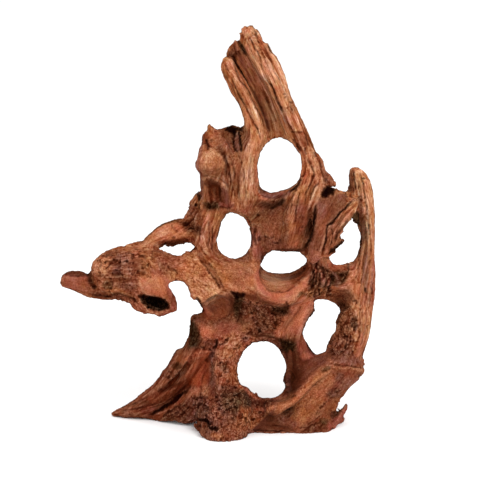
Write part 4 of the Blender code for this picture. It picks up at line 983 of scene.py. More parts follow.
# The heart: the middle of the root, round the long tunnel. A mottled bark plate ends in a bright lip over a
# smooth chocolate recess, the tunnel's mouth is a wide pink collar, and a pink strut runs down from it to the
# right foot.
zone(RUSSET, 0.6, (10, 155), 78, 42, 0, fibres=0.6, grits=0.4)
flow((-14, 158, -4), (12, 154, -2), (34, 152, -2), (54, 158, 0), (68, 168, 0))
flow((-50, 182, -8), (-38, 170, -8), (-25, 153, -8))
flow((-64, 176, -12), (-50, 162, -12), (-40, 148, -12))
flow((-22, 176, -4), (-12, 160, -4))
flow((66, 143, -8), (48, 119, -17), (42, 106, -16), (54, 80, 0))
flow((62, 166, 2), (84, 160, 5), (96, 168, 5))
flow((84, 150, 2), (96, 142, 2), (103, 132, 2))
field_of(HONEY, 0.6, (-92, 188), (-60, 190), (-44, 188), (-28, 186), (-20, 160), (-28, 148), (-46, 142),
         (-62, 152), (-86, 166), fibres=0.5, grits=0.6)
field_of(TAN, 0.5, (-66, 186), (-52, 186), (-40, 172), (-30, 154), (-44, 144), (-58, 148), (-66, 164))
patch(SALMON, 0.5, (-74, 180), 13, 6, 0)
patch(UMBER, 0.5, (-84, 172), 8, 6, 0, grits=0.8)
field_of(RUSSET, 0.8, (-48, 226), (-38, 226), (-34, 206), (-36, 188), (-26, 178), (-44, 184), (-52, 196),
         fibres=1.0)
band(TAN, 0.5, 2, (-47, 205), (-45, 196), (-42, 187))
grooves(0.8, 1.0, 0.6, ((-42, 222), (-41, 208), (-42, 194)), ((-37, 216), (-37, 202), (-38, 190)))
band(UMBER, 0.6, 2.6, (-50, 188), (-45, 180), (-38, 170), (-32, 161), (-28, 153))
groove(0.9, 1.0, 0.65, (-51, 184), (-45, 176), (-39, 168.6), (-34, 161), (-30, 153))
groove(0.9, 0.8, 0.45, (-43, 181), (-36, 172.6), (-31, 164), (-26.6, 154))
lip(1.4, 1.4, 0.3, (-19, 151), (-24, 150), (-29, 147), (-34, 143.6), (-40, 140.4), (-46, 139.6), (-50, 141))
band(TAN, 0.9, 3, (-54, 147), (-48, 144), (-42, 143.6), (-36, 146), (-30, 150), (-22, 153.4))
# Painted shadow: a black line under the plate's edge.
band(SHADE_BLACK, 0.85, 1.8, (-53, 143.6), (-49.6, 138), (-44.6, 131.6))
groove(0.9, 1.0, 0.7, (-77, 173), (-74, 170), (-73, 168))
groove(0.9, 0.9, 0.6, (-82, 176), (-77, 173), (-73, 169))
patch(MAUVE, 0.45, (-80, 182), 14, 8)
field_of(HONEY, 0.7, (-22, 180), (-10, 180), (4, 182), (8, 176), (4, 164), (6, 152), (-4, 150), (-18, 152),
         (-26, 164), fibres=0.25, grits=0.4)
patch(UMBER, 0.4, (-10, 168), 12, 8, 20)
patch(SALMON, 0.4, (-14, 173), 7, 6)
# Painted highlight along the heart's bright lower lip.
band(TAN, 0.7, 2.6, (-20, 157), (-12, 154), (-4, 153), (4, 154), (8, 151))
patch(RUSSET, 0.4, (-16, 166), 6, 12, 30)
field_of(ROSE, 0.6, (2, 214), (8, 214), (10, 196), (14, 190), (10, 182), (4, 184), (0, 196), fibres=0.5)
field_of(CHOCOLATE, 0.85, (-20, 150), (-6, 149), (5, 147), (14, 142.6), (24, 138.6), (20, 137), (8, 139),
         (-6, 142), (-10, 130), (-20, 128), (-48, 122), (-50, 138), (-42, 137), (-30, 144), fibres=0.1,
         grits=0.1)
field_of(RUSSET, 0.85, (-46, 136), (-38, 138), (-30, 146), (-22, 149), (-20, 134), (-24, 124), (-44, 122),
         fibres=0.3)
field_of(EMBER, 0.3, (-48, 134), (-38, 132), (-26, 136), (-22, 128), (-36, 120), (-50, 122), fibres=0.3)
# Painted shadow: black under the heart's lip.
field_of(SHADE_BLACK, 0.8, (-19, 150.6), (-12, 150), (-5, 147.6), (-6, 145), (-11, 143), (-14, 139), (-16, 146),
         deep=2.0, darkness=0.8, blur=1.8, grits=1)
field_of(OLIVE, 0.8, (-15, 145), (-7, 144), (-5, 130), (-8, 119), (-14, 120), (-16, 132), grits=1.5,
         darkness=0.4, deep=1.2, blur=2.5)
field_of(UMBER, 0.85, (-6, 143), (6, 141), (20, 137), (38, 131), (42, 118), (30, 110), (10, 108), (-10, 108),
         (-16, 116), fibres=0.3, grits=1.5, deep=1.0)
field_of(OLIVE, 0.7, (22, 135), (40, 135), (42, 128), (30, 126), (22, 129), deep=1.4, darkness=0.5)
ribs(1.0, 1.4, 0.8, ((23, 136), (26, 135.4), (30, 135.5)), ((31, 137), (34, 138.4), (38, 137)))
groove(1.2, 1.4, 0.85, (36, 141), (37.4, 137), (38, 132))
ribs(0.9, 1.0, 0.35, ((14, 128), (17, 126)), ((17, 124), (20, 122)), ((24, 127), (26, 123), (28, 119)),
     ((31, 130), (34, 127)), ((8, 130), (11, 127)), ((5, 120), (9, 121)), ((20, 117), (24, 115)),
     ((-2, 119), (2, 116)), ((12, 115), (16, 112)))
grooves(1.0, 1.1, 0.5, ((12, 129), (15, 125), (18, 123)), ((22, 126), (24, 121), (27, 117)),
        ((2, 124), (7, 122)), ((-4, 114), (3, 112)), ((15, 118), (19, 115)), ((30, 122), (34, 119)),
        ((28, 132), (33, 131)), ((-2, 130), (4, 128)), ((6, 114), (10, 112)))
patch(RUSSET, 0.6, (26, 122), 10, 7, 20)
band(CHOCOLATE, 0.8, 3, (4, 106), (14, 107), (24, 106), (30, 104))
groove(1.2, 1.0, 0.6, (5, 105.6), (13, 106.6), (22, 105.6), (29, 103))
field_of(SALMON, 0.95, (9, 180), (5, 172), (4, 162), (6, 152), (12, 146), (22, 141), (34, 139), (44, 142),
         (50, 148), (56, 156), (60, 166), (54, 164), (46, 156), (34, 151), (22, 150), (15, 156), (12, 164),
         (11, 174), fibres=0.1, grits=0.05)
band(ROSE, 0.6, 2.4, (8, 170), (8, 161), (11, 153), (16, 148))
field_of(TAN, 0.5, (12, 172), (20, 168), (36, 168), (44, 168), (44, 160), (36, 153), (22, 152), (15, 158),
         fibres=0.3, grits=0.05)
# Painted light: the tunnel's upper wall is painted tan to lift it out of the shade it lies in.
field_of(TAN, 0.85, (11, 174), (20, 168), (36, 167), (46, 170), (46, 164), (36, 162), (22, 162), (12, 166),
         fibres=0.2)
field_of(RED, 0.75, (40, 168), (50, 172), (58, 180), (61, 174), (56, 164), (46, 158), (40, 160), fibres=0.5)
groove(0.7, 0.8, 0.5, (10, 176), (10.5, 166), (13, 158), (19, 152), (28, 150.5), (38, 152), (46, 157))
rib(1.6, 0.9, 0.55, (6.5, 168), (5.5, 160), (7.5, 153), (13, 147), (22, 143))
rib(2.0, 1.0, 0.4, (28, 143), (38, 143.5), (45, 148), (50, 154))
# Painted highlights on the collar: pale raised spots and a pale band.
pit(-0.9, -0.8, (47, 157), 2.2, 1.6)
pit(-1.2, -0.8, (54, 163), 3.4, 2.2, 30)
pit(-0.6, -0.6, (46, 146), 3, 2)
band(BLEACHED, 0.2, 2, (38, 142), (45, 144), (50, 148))
patch(OLIVE, 0.75, (52, 146), 5, 4, 20)
patch(ROSE, 0.5, (18, 148), 6, 4, -30)
band(ROSE, 0.4, 4, (14, 146), (26, 142), (40, 144))
pit(1.8, 0.7, (61.5, 158), 2.6, 6.5, 5)
field_of(SALMON, 0.95, (62, 141), (52, 139), (44, 134), (36, 124), (30, 114), (34, 109), (48, 110), (52, 116),
         (57, 126), (62, 134), fibres=0.35, grits=0.1)
field_of(MAUVE, 0.5, (62, 140), (59, 138), (55, 128), (52, 116), (52, 110), (58, 122), (63, 132), fibres=0.4)
patch(HONEY, 0.3, (54, 132), 6, 5, 30)
field_of(ROSE, 0.7, (30, 113), (40, 116), (50, 115), (52, 106), (36, 106), blur=3)
# Painted light: the strut's left face, turned from the main light, is painted pale to lift it out of  its
# shade.
band(SALMON, 0.95, 5.5, (31, 111), (39, 123), (47, 134), (54, 141), grits=0.1)
rib(2.4, 0.3, 0.4, (35, 115), (42, 125), (51, 137))
groove(0.6, 0.6, 0.35, (51, 136), (44, 127), (38, 118), (35, 113))
groove(1.2, 1.2, 0.8, (64.6, 138), (64, 131), (61, 126), (58, 121))
field_of(CHOCOLATE, 0.75, (60, 178), (72, 180), (82, 174), (84, 160), (82, 146), (66, 144), (56, 146),
         (60, 158), fibres=1.3, grits=0.8)
grooves(1.1, 1.8, 0.75, ((66, 179), (67, 168), (65, 158)), ((62, 173), (64, 165), (62.5, 156)),
        ((81, 168), (80, 158), (77, 148)), ((73, 177), (74, 169), (72, 162)),
        ((77, 162), (74.5, 154), (72, 147)), ((68, 158), (69, 150), (71, 145)),
        ((70, 170), (69, 163), (71, 156)), ((64, 150), (65, 145), (67, 142)))
ribs(1.1, 1.0, 0.4, ((64, 173), (65, 167)), ((70, 176), (71, 170), (70, 165)),
     ((75, 172), (77, 165), (75, 159)), ((67, 164), (66.5, 159)), ((73, 156), (72, 149)),
     ((59.5, 152), (60, 146)), ((79, 156), (76, 150)), ((78, 171), (79, 166)))
speckled(0.8, 0.6, (60, 146), (83, 178), 24, 1.0, 47)
speckled(-0.8, -0.5, (61, 148), (81, 176), 16, 0.9, 48)
patch(ROSE, 0.7, (72, 166), 2.2, 5, 10)
patch(SALMON, 0.7, (66, 171), 1.6, 3.4)
patch(ROSE, 0.6, (78, 160), 1.8, 4, -10)
field_of(HONEY, 0.7, (57, 152), (62, 152), (62, 146), (58, 145))
field_of(HONEY, 0.6, (70, 154), (76, 154), (75, 146), (70, 147))
field_of(SALMON, 0.9, (70, 184), (76, 187), (80, 186), (84, 179), (94, 177), (94, 173), (84, 171), (76, 176),
         (71, 180), fibres=0.3, grits=0.1)
patch(HONEY, 0.7, (76, 182), 5, 4, -30)
band(RED, 0.5, 2, (84, 173.5), (90, 173.6), (95, 174.4))


# The horn: a long curved spar on the right, bleached down its outer side, joined to the heart by a dark
# bridge and pitted where it meets the foot. Its grain runs lengthwise, straight and coarse.
zone(TAN, 0.75, (116, 190), 20, 112, 3, fibres=0.85, grits=0.3, blur=0.3)
# Painted shade on the wood between the flap and the horn.
field_of(OLIVE, 0.9, (100, 223), (103, 228), (108, 230.6), (110, 224), (110, 216), (107, 217), (103, 221),
         fibres=0.3, darkness=0.3, blur=1.5)
groove(1.2, 1.0, 0.9, (107.6, 230), (108.6, 224), (109.6, 217))
field_of(RED, 0.7, (108, 233), (111.4, 234), (112.4, 222), (112, 210), (110.6, 216), (109.4, 224), fibres=0.4,
         blur=1.5)
field_of(HONEY, 0.6, (99, 254), (104, 262), (107, 250), (108, 240), (104, 244), (98, 248))
flow((107, 270, 4), (112.5, 242, 6), (117.5, 203, 8), (116.5, 186, 8), (110, 152, 5), (103, 112, 1),
     (93, 80, 2), (90, 68, 4), (73, 53, 6), (51, 6, 8))
field_of(UMBER, 0.75, (98, 272), (103, 273), (104, 262), (106, 250), (100, 249), (97, 256), fibres=0.7)
groove(1.0, 1.4, 0.85, (103, 272), (103.4, 266), (104.4, 260), (106, 252))
band(BLEACHED, 0.7, 2.6, (109, 271), (112, 266), (113, 261))
pit(1.0, 0.8, (114, 263), 1.6, 1.3)
groove(0.9, 1.3, 0.7, (110, 269), (112, 262), (114, 255), (115, 247), (116, 240), (117, 232), (116, 222))
groove(0.8, 1.0, 0.6, (117, 240), (118, 225), (119, 212))
groove(1.1, 1.6, 0.85, (118.8, 219), (118.4, 213), (119, 207))
grooves(0.9, 1.0, 0.7, ((115.6, 215), (115.4, 209), (114.6, 203)),
        ((98, 179), (98, 171), (94, 163), (90, 157)))
grooves(0.7, 0.9, 0.5, ((108, 262), (109, 250), (108, 242)),
        ((120.5, 205), (120, 190), (118, 175), (117, 160)), ((115, 196), (113, 180), (112, 164), (110, 148)),
        ((110, 190), (108, 176), (106, 162)), ((122, 172), (122, 158), (120, 140)))
band(HONEY, 0.6, 3, (120.5, 255), (121.5, 235), (122, 215), (122, 195))
band(BLEACHED, 0.6, 3, (115, 240), (116, 225), (116, 210), (114, 198))
# Painted shade down the horn's left side, which turns from the main light.
band(CHOCOLATE, 0.75, 2.4, (110, 244), (111, 232), (112.5, 221), (112.5, 210), (112, 200))
band(MAUVE, 0.6, 2.6, (116, 186), (115, 168), (116, 140))
band(ROSE, 0.6, 2.6, (124, 180), (124, 158), (122, 138))
band(SALMON, 0.5, 3, (108, 176), (106, 162), (108, 150))
band(HONEY, 0.6, 5, (113, 196), (109, 178), (107, 160), (109, 148))
band(SALMON, 0.45, 3, (103, 178), (102, 168), (100, 160))
patch(OLIVE, 0.5, (116.5, 145), 3.5, 8, 0)
pit(0.9, 0.8, (115, 152), 1.2, 2.4)
groove(1.0, 1.0, 0.7, (110.6, 211), (110.4, 200), (109, 190), (105, 184), (100, 180.6))
field_of(OLIVE, 0.8, (82, 171), (96, 172), (100, 168), (94, 160), (86, 155), (80, 158), fibres=0.8, grits=0.9,
         darkness=0.1)
band(MAUVE, 0.5, 2, (84, 169), (88, 163), (86, 157))
pit(1.6, 0.9, (82, 165), 2.4, 3.6)
pit(1.2, 0.8, (92, 167), 2.6, 1.8)
band(HONEY, 0.8, 1.6, (83, 155), (86, 152.5), (88, 150.5))
patch(HONEY, 0.6, (84, 148), 3, 4)
field_of(CHOCOLATE, 0.75, (84, 152), (100, 152), (105, 146), (100, 138), (92, 133), (84, 142), (76, 145),
         fibres=0.4, grits=0.4, blur=4)
groove(1.2, 1.0, 0.4, (86, 151.5), (92, 151), (99, 151.6))
pit(1.2, 0.5, (92, 136), 2.6, 2.2, 40)
field_of(CHOCOLATE, 0.5, (88, 131), (100, 136), (106, 128), (108, 116), (103, 104), (96, 100), (88, 112),
         fibres=0.5, grits=1.3)
field_of(UMBER, 0.75, (86, 110), (104, 104), (108, 96), (104, 86), (80, 86), (80, 102), fibres=0.5, grits=1.3)
patch(MAUVE, 0.7, (105, 118), 4, 6)
patch(MAUVE, 0.5, (94, 88), 9, 5)
speckled(0.8, 0.35, (86, 88), (108, 140), 30, 1.1, 46)
pocks(1.2, 0.4, 25, (99, 113, 2.0), (96, 105, 2.6), (104, 122, 1.8), (95, 95, 1.6))
groove(0.9, 1.0, 0.8, (101.6, 141), (105.6, 141.2), (107, 138))
field_of(OLIVE, 0.6, (103, 124), (108, 122), (107, 112), (102, 110), (101, 118), grits=1.2, blur=2)
band(TAN, 0.7, 2.4, (101, 112), (104, 107), (108, 104), (109, 110))
band(SALMON, 0.5, 4, (115, 146), (114, 130), (114, 116), (111, 100), (108, 88))
band(HONEY, 0.5, 2.6, (110, 136), (110, 120), (108, 104), (105, 92))
grooves(0.7, 0.9, 0.55, ((111, 140), (110, 126), (110, 112), (107, 98)),
        ((117, 138), (116, 124), (114, 110), (111, 96)))
groove(0.7, 0.8, 0.5, (113, 134), (112, 120), (112, 108))


# The burl foot: the column on the left and the broad heel under it, spongy with knots and holes, with an arch
# over the foot eye. Its flat underside is what the piece stands on.
zone(MAUVE, 0.6, (-10, 55), 62, 66, 0, fibres=0.35, grits=1.2)
flow((-14, 108, 0), (12, 112, 2), (36, 104, 0), (48, 88, 4))
flow((-22, 100, -6), (-26, 68, -10), (-24, 34, -20), (-26, 0, -24))
field_of(RUSSET, 0.8, (-54, 118), (-36, 120), (-12, 124), (4, 128), (4, 112), (-14, 106), (-34, 104),
         (-50, 102), fibres=0.25, grits=0.4, blur=4)
patch(ROSE, 0.4, (-22, 114), 12, 6)
patch(SALMON, 0.85, (-43, 109), 7, 6)
field_of(SALMON, 0.55, (-34, 106), (-12, 110), (-6, 98), (-12, 82), (-12, 60), (-34, 56), (-36, 80),
         fibres=0.6, grits=1.1)
patch(TAN, 0.6, (-18, 96), 9, 12, 0)
patch(HONEY, 0.5, (-16, 66), 5, 9, 0)
patch(TAN, 0.4, (-26, 88), 6, 6)
band(SALMON, 0.6, 2.6, (2, 103), (-5, 96), (-9, 88))
band(MAUVE, 0.4, 2.6, (-36, 92), (-37, 76), (-37, 60), grits=0.8)
band(OLIVE, 0.3, 1.6, (-39, 80), (-39, 70), (-38, 58))
groove(2.0, 2.8, 0.98, (-34, 103, 0.7), (-33.6, 98), (-35.5, 94.5), (-38, 94, 0.6))
groove(1.0, 1.5, 0.8, (-32, 96), (-27, 98.5), (-24, 102), (-20, 105.5))
rib(1.2, 1.0, 0.6, (-31.5, 99), (-29, 99), (-27, 101))
groove(1.0, 1.2, 0.8, (-50, 95), (-44, 93), (-38, 93))
groove(0.9, 1.1, 0.8, (-17, 92.6), (-13, 93.4), (-10, 94))
patch(OLIVE, 0.6, (-26, 75), 4, 5)
grooves(1.0, 1.0, 0.6, ((-26, 72.6), (-21, 72.4)), ((-26, 69.6), (-20, 70)), ((-22, 84.4), (-18, 83.6)),
        ((-8, 104), (-3, 104.6)), ((-4, 108), (2, 108.4)), ((-32, 66), (-27, 66.4)), ((-18, 54), (-14, 55)),
        ((-24, 61), (-19, 61)), ((-31, 79), (-27, 80.5)), ((-15, 80), (-12.6, 77)), ((-30, 55), (-26, 54)),
        ((10, 105.4), (26, 104)))
field_of(MAUVE, 0.6, (-58, 44), (-42, 42), (-30, 44), (-14, 42), (-2, 40), (-2, 30), (-22, 26), (-44, 24),
         (-57, 20), fibres=0.3, grits=1.6)
field_of(MAUVE, 0.5, (-58, 44), (-44, 42), (-42, 24), (-57, 18), fibres=0.6)
field_of(CHOCOLATE, 0.45, (-58, 44), (-44, 42), (-42, 24), (-57, 18))
field_of(OLIVE, 0.55, (-28, 52), (-8, 52), (2, 44), (0, 34), (-16, 28), (-28, 34), grits=1.7)
band(RUSSET, 0.6, 4, (-38, 42), (-36, 32), (-30, 24))
speckled(1.0, 0.4, (-56, 10), (4, 48), 45, 1.2, 42)
speckled(0.9, 0.35, (-34, 50), (-12, 102), 20, 1.1, 43)
pocks(1.6, 0.6, 30, (-11.5, 47.5, 2.8), (-27, 46.5, 3.0), (-4, 48, 2.0), (-18, 40.5, 1.8), (-31.5, 33, 2.0),
      (-20, 33.5, 1.8), (-52, 35, 1.8), (-51, 15.5, 1.4), (-16, 46, 1.4), (9.5, 29, 1.8), (4, 23, 1.5))
groove(1.0, 1.3, 0.6, (-4, 25), (-4, 21), (-3, 18))
groove(1.9, 3.4, 1.0, (-54, 21.5, 0.7), (-49, 22.4), (-44, 22), (-41.4, 19), (-41, 15.5, 0.8), (-38, 13.4),
       (-34, 13.6), (-31.4, 16.4, 0.6))
pit(-1.8, 0, (-36.5, 18), 3.6, 3.6)
patch(MAUVE, 0.7, (-36, 18), 4, 4)
patch(UMBER, 0.7, (-45, 15), 4, 5)
field_of(RUSSET, 0.85, (-8, 40), (-4, 34), (10, 33), (18, 30), (8, 20), (2, 13), (-8, 10), (-18, 14),
         (-12, 28), fibres=0.3, grits=1.2)
patch(HONEY, 0.6, (0, 24), 8, 9, 20)
patch(HONEY, 0.7, (-33, 6), 6, 3, -10)
patch(RUSSET, 0.7, (-18, 12), 12, 8, 0)
patch(OLIVE, 0.55, (-8, 39), 8, 5, 0)
band(SALMON, 0.85, 2.4, (-9, 56), (-5, 53), (0, 49), (5, 45.4), (9, 43.4), fibres=0.4)
groove(0.9, 0.9, 0.6, (-8, 52), (-2, 47.6), (4, 43))


# The splinter root: two long prongs torn out to the left, with a black furrow between them, a knot near the
# top and a red, smooth hollow where they leave the burl.
zone(UMBER, 0.6, (-90, 60), 56, 52, 35, fibres=0.9, grits=0.4)
flow((-51, 103, 0), (-71, 66, 10), (-103, 38, 22), (-137, 29, 29))
flow((-46, 58, -2), (-72, 32, 8), (-95, 23, 14))
flow((-44, 90, 0), (-56, 62, 4), (-60, 50, 6))
field_of(OLIVE, 0.9, (-62, 121), (-56, 122), (-52, 113), (-50, 100), (-52, 94), (-62, 94), deep=1.2,
         darkness=0.55, blur=3, grits=1)
field_of(RUSSET, 0.6, (-66, 92), (-58, 90), (-46, 92), (-40, 90), (-52, 80), (-66, 72), (-80, 72), (-76, 86),
         fibres=0.6)
band(SALMON, 0.65, 3, (-62, 83), (-52, 88), (-42, 91.5))
field_of(EMBER, 0.65, (-40, 90), (-48, 86), (-56, 78), (-64, 68), (-62, 58), (-52, 54), (-42, 58), (-40, 72),
         fibres=0.3, grits=0.1, deep=1.5)
band(RED, 0.7, 3, (-60, 76), (-62, 68), (-61, 61))
band(RED, 0.5, 2, (-42, 80), (-44, 70), (-42, 60))
grooves(1.3, 0.8, 0.35, ((-38, 89), (-44, 82), (-50, 74), (-54, 66)), ((-46, 82), (-52, 72), (-57, 63)),
        ((-42, 74), (-46, 66), (-49, 58)), ((-41, 84), (-45, 76), (-48, 68)))
groove(2.2, 1.8, 0.7, (-36, 90), (-40, 85), (-44, 80))
rib(1.4, 0.7, 0.3, (-50, 82), (-56, 72), (-60, 64))
patch(SALMON, 0.6, (-54, 50), 7, 4, 15, fibres=0.2, blur=0.8)
patch(HONEY, 0.5, (-45, 53), 4, 7, fibres=0.2, blur=0.8)
pit(-1.4, -0.4, (-54, 50), 6, 4, 15)
pit(-1.0, -0.4, (-44.5, 51), 4, 6)
groove(1.3, 1.2, 0.5, (-60, 45), (-54, 44), (-49, 45), (-46, 43.5), (-41, 45))
groove(1.0, 1.0, 0.4, (-50, 57), (-49.6, 51), (-49.4, 46))
pit(1.4, 0.4, (-73, 76), 4.5, 3.2, -10)
patch(OLIVE, 0.6, (-73, 76), 5, 4)
groove(0.9, 1.0, 0.5, (-84, 66), (-81, 64.6), (-78.6, 67), (-80, 70), (-83, 71))
pit(1.2, 0.5, (-81.5, 65), 2.2, 1.4)
field_of(RUSSET, 0.45, (-92, 64), (-84, 62), (-78, 58), (-92, 50), (-112, 42), (-136, 30), (-134, 28),
         (-112, 30), (-120, 40), (-104, 52), fibres=0.8)
field_of(RED, 0.7, (-66, 64), (-76, 60), (-92, 52), (-108, 44), (-112, 38), (-98, 33), (-84, 40), (-70, 50),
         (-58, 56), fibres=0.5, grits=0.2, deep=1.0, blur=4)
band(CHOCOLATE, 0.6, 3, (-62, 56), (-74, 50), (-86, 43), (-96, 36))
groove(2.4, 1.6, 0.55, (-66, 59), (-74, 56.5), (-84, 53), (-92, 49))
patch(OLIVE, 0.5, (-105, 38.5), 5, 3)
patch(ROSE, 0.5, (-102, 32), 8, 3, 20)
groove(1.5, 3.2, 1.0, (-102, 26.4, 0.7), (-95, 29.6, 1.0), (-88, 33.6, 1.1), (-81, 38.4), (-74, 43.6),
       (-67, 48.6, 0.9), (-61, 53, 0.7))
band(RUSSET, 0.8, 2.6, (-93, 24), (-86, 30), (-78, 36), (-68, 43), (-60, 47), fibres=0.8)
groove(0.8, 1.0, 0.7, (-90, 31), (-83, 36), (-76, 40))
groove(0.8, 1.0, 0.6, (-88, 25), (-80, 31), (-73, 37))
field_of(CHOCOLATE, 0.6, (-84, 30), (-72, 38), (-62, 42), (-58, 34), (-60, 23), (-76, 22), (-88, 22),
         grits=0.9)
pocks(1.3, 0.5, 45, (-70, 35, 2.4), (-66.5, 36, 1.6), (-73, 29, 2.4), (-67, 29, 2.4), (-63, 33, 1.4),
      (-78, 27, 1.3), flatness=0.6)
grooves(0.7, 0.8, 0.5, ((-130, 30), (-118, 33), (-104, 35), (-92, 39)), ((-124, 35), (-112, 40), (-100, 46)))
rib(1.4, 0.6, 0.35, (-110, 45), (-100, 50), (-92, 57))


# The right foot: a block that widens to a ledge on the right, hollowed into a dark smooth wall behind the
# foot eye, with a sill that ties it to the burl and one upturned spike.
zone(RUSSET, 0.75, (66, 44), 56, 50, 0, fibres=0.35, grits=0.4)
flow((84, 79, -14), (45, 50, -21), (24, 36, -20))
flow((72, 10, 8), (20, 18, 6), (-6, 20, 0))
field_of(CHOCOLATE, 0.92, (30, 102), (46, 104), (60, 96), (66, 87), (78, 86), (70, 76), (62, 68), (54, 58),
         (46, 50), (34, 48), (36, 60), (38, 76), (34, 88), fibres=0.35, grits=0.15)
field_of(OLIVE, 0.85, (29, 101), (38, 102), (47, 98), (44, 92), (36, 90), (32, 92), darkness=0.45, deep=1,
         grits=0.9)
speckled(0.8, 0.9, (30, 91), (45, 100), 9, 1.4, 45)
band(RUSSET, 0.6, 1.8, (40, 90), (40, 78), (39, 66))
band(MAUVE, 0.6, 2, (39, 66), (38, 58), (39, 52))
groove(1.4, 1.0, 0.75, (35, 80), (34.4, 70), (35, 62), (34, 56))
field_of(ROSE, 0.75, (46, 104), (54, 104), (60, 92), (64, 84), (54, 82), (48, 92), fibres=0.4)
patch(SALMON, 0.5, (56, 86), 5, 3)
field_of(UMBER, 0.7, (60, 84), (78, 86), (78, 80), (68, 74), (60, 66), (52, 62), (54, 74))
groove(1.6, 1.2, 0.8, (56, 101), (60, 95), (65, 88))
field_of(HONEY, 0.35, (24, 34), (28, 42), (40, 46), (50, 48), (54, 56), (62, 66), (72, 74), (84, 76),
         (84, 60), (76, 48), (70, 30), (50, 18), (34, 18), fibres=0.35, grits=0.4, blur=6)
field_of(UMBER, 0.4, (22, 30), (28, 36), (38, 34), (44, 24), (40, 16), (24, 18), fibres=0.4, blur=5)
patch(HONEY, 0.4, (38, 41), 10, 5, 25)
# Painted light: the hollow under the ridge is painted honey to lift it out of its shade.
band(HONEY, 0.7, 6, (30, 31), (42, 37), (54, 46), (66, 58), (76, 66))
pit(-1.6, -0.15, (44, 37), 13, 4, 30, blur=0.8)
pit(-1.4, -0.15, (64, 56), 13, 4, 45, blur=0.8)
patch(HONEY, 0.6, (50, 26), 9, 6, 20)
rib(1.4, 0.8, 0.25, (45, 43), (49, 47.5), (52, 52), (54.5, 57), (60, 61.5))
groove(1.2, 0.8, 0.35, (42, 50.5), (46, 52.5), (50, 57))
groove(1.0, 1.0, 0.6, (41, 44), (44, 46), (47, 46.5))
groove(1.1, 1.2, 0.6, (77, 79.5, 0.9), (81, 78.2), (87, 77), (95, 76.2), (104, 75.2, 0.7), (112, 74.4, 0.5))
lip(0.6, 1.3, 0.1, (113, 73.6), (104, 74.2), (94, 75), (86, 76))
band(TAN, 0.25, 1.4, (84, 75), (96, 74), (106, 73), (112, 72))
groove(1.4, 1.2, 0.45, (70, 71), (74.5, 70.8), (79, 72.6), (80.6, 76))
patch(OLIVE, 0.6, (76, 73.4), 4.5, 2.4, 20)
field_of(MAUVE, 0.7, (80, 86), (108, 84), (113, 78), (100, 77), (84, 80), fibres=0.4)
field_of(MAUVE, 0.6, (88, 68), (98, 70), (112, 68), (104, 58), (94, 50), (84, 42), (78, 46), (82, 58),
         fibres=0.5, grits=0.4)
patch(OLIVE, 0.45, (83, 48), 8, 5, 30, grits=0.8)
patch(RUSSET, 0.5, (100, 67), 9, 4)
patch(MAUVE, 0.6, (90, 64), 4, 6)
grooves(0.8, 0.9, 0.5, ((70, 33), (73, 37)), ((72, 35), (75, 39)), ((74, 37), (77, 41)), ((66, 28), (69, 33)),
        ((68, 27), (71, 31)))
pit(0.5, 0.3, (80, 50), 3, 4)
pit(0.5, 0.3, (86, 51), 4, 2)
pit(0.8, 0.35, (64, 57), 2.4, 0.9, 10)
grooves(0.8, 0.8, 0.35, ((52, 16), (62, 20), (72, 27)), ((46, 14), (58, 15.6), (70, 19)))
band(MAUVE, 0.4, 3, (28, 26), (36, 22), (44, 18))
patch(SALMON, 0.35, (60, 48), 14, 10, 30)
patch(HONEY, 0.5, (87, 37), 5, 7, 0)
field_of(CHOCOLATE, 0.75, (58, 18), (70, 22), (78, 20), (78, 12), (64, 9), (50, 10), fibres=0.5, grits=0.6)
patch(OLIVE, 0.6, (74, 21), 5, 3)
field_of(ROSE, 0.9, (78, 20), (84, 24), (90, 30), (96, 38), (98, 34), (94, 24), (87, 13), (80, 10), (77, 14),
         fibres=0.4, grits=0.2)
patch(OLIVE, 0.6, (86.6, 28), 3.4, 2.2, 35)
band(CHOCOLATE, 0.7, 1.4, (84, 29.4), (88, 30.6), (92, 33.4), (95.6, 37.4))
pit(0.8, 0.6, (82.6, 13.4), 1.4, 1.2)
field_of(CHOCOLATE, 0.75, (2, 13), (10, 20), (18, 28), (24, 32), (26, 22), (40, 16), (48, 11), (24, 10),
         (6, 10), fibres=0.3, grits=0.15)
band(SALMON, 0.6, 2.4, (8, 33.4), (16, 33), (22, 35))
band(HONEY, 0.6, 1.8, (2, 14), (10, 22), (17, 29), (22, 36))
field_of(CHOCOLATE, 0.7, (4, 42), (24, 43), (22, 37), (8, 35.4), (2, 38))
groove(1.0, 1.0, 0.8, (2, 11.2), (14, 11.4), (28, 10.8), (40, 10.6))
groove(0.7, 0.7, 0.4, (14, 17), (28, 16.4), (42, 15))


# The grain and the weathering. Each spot has a fibre direction, from the grain lines near it, and noise
# smeared along it makes furrows, streaks and their colour. Spongy wood has pits and knots instead, hollows
# are darkened with painted shade, crests are worn pale, and the unseen back is blotched brown and tan.
GRAIN_CELL = 4.0 * MM
LINE_REACH = 6.0 * MM
CLOSEST = 1e-9
DEEPENING = np.array((0.66, 1.17, 1.55))
RIM_SHADE = np.array((0.38, 0.33, 0.26))
REDDER, YELLOWER = np.array((0.25, -0.35, -0.3)), np.array((0, 0.2, -0.6))


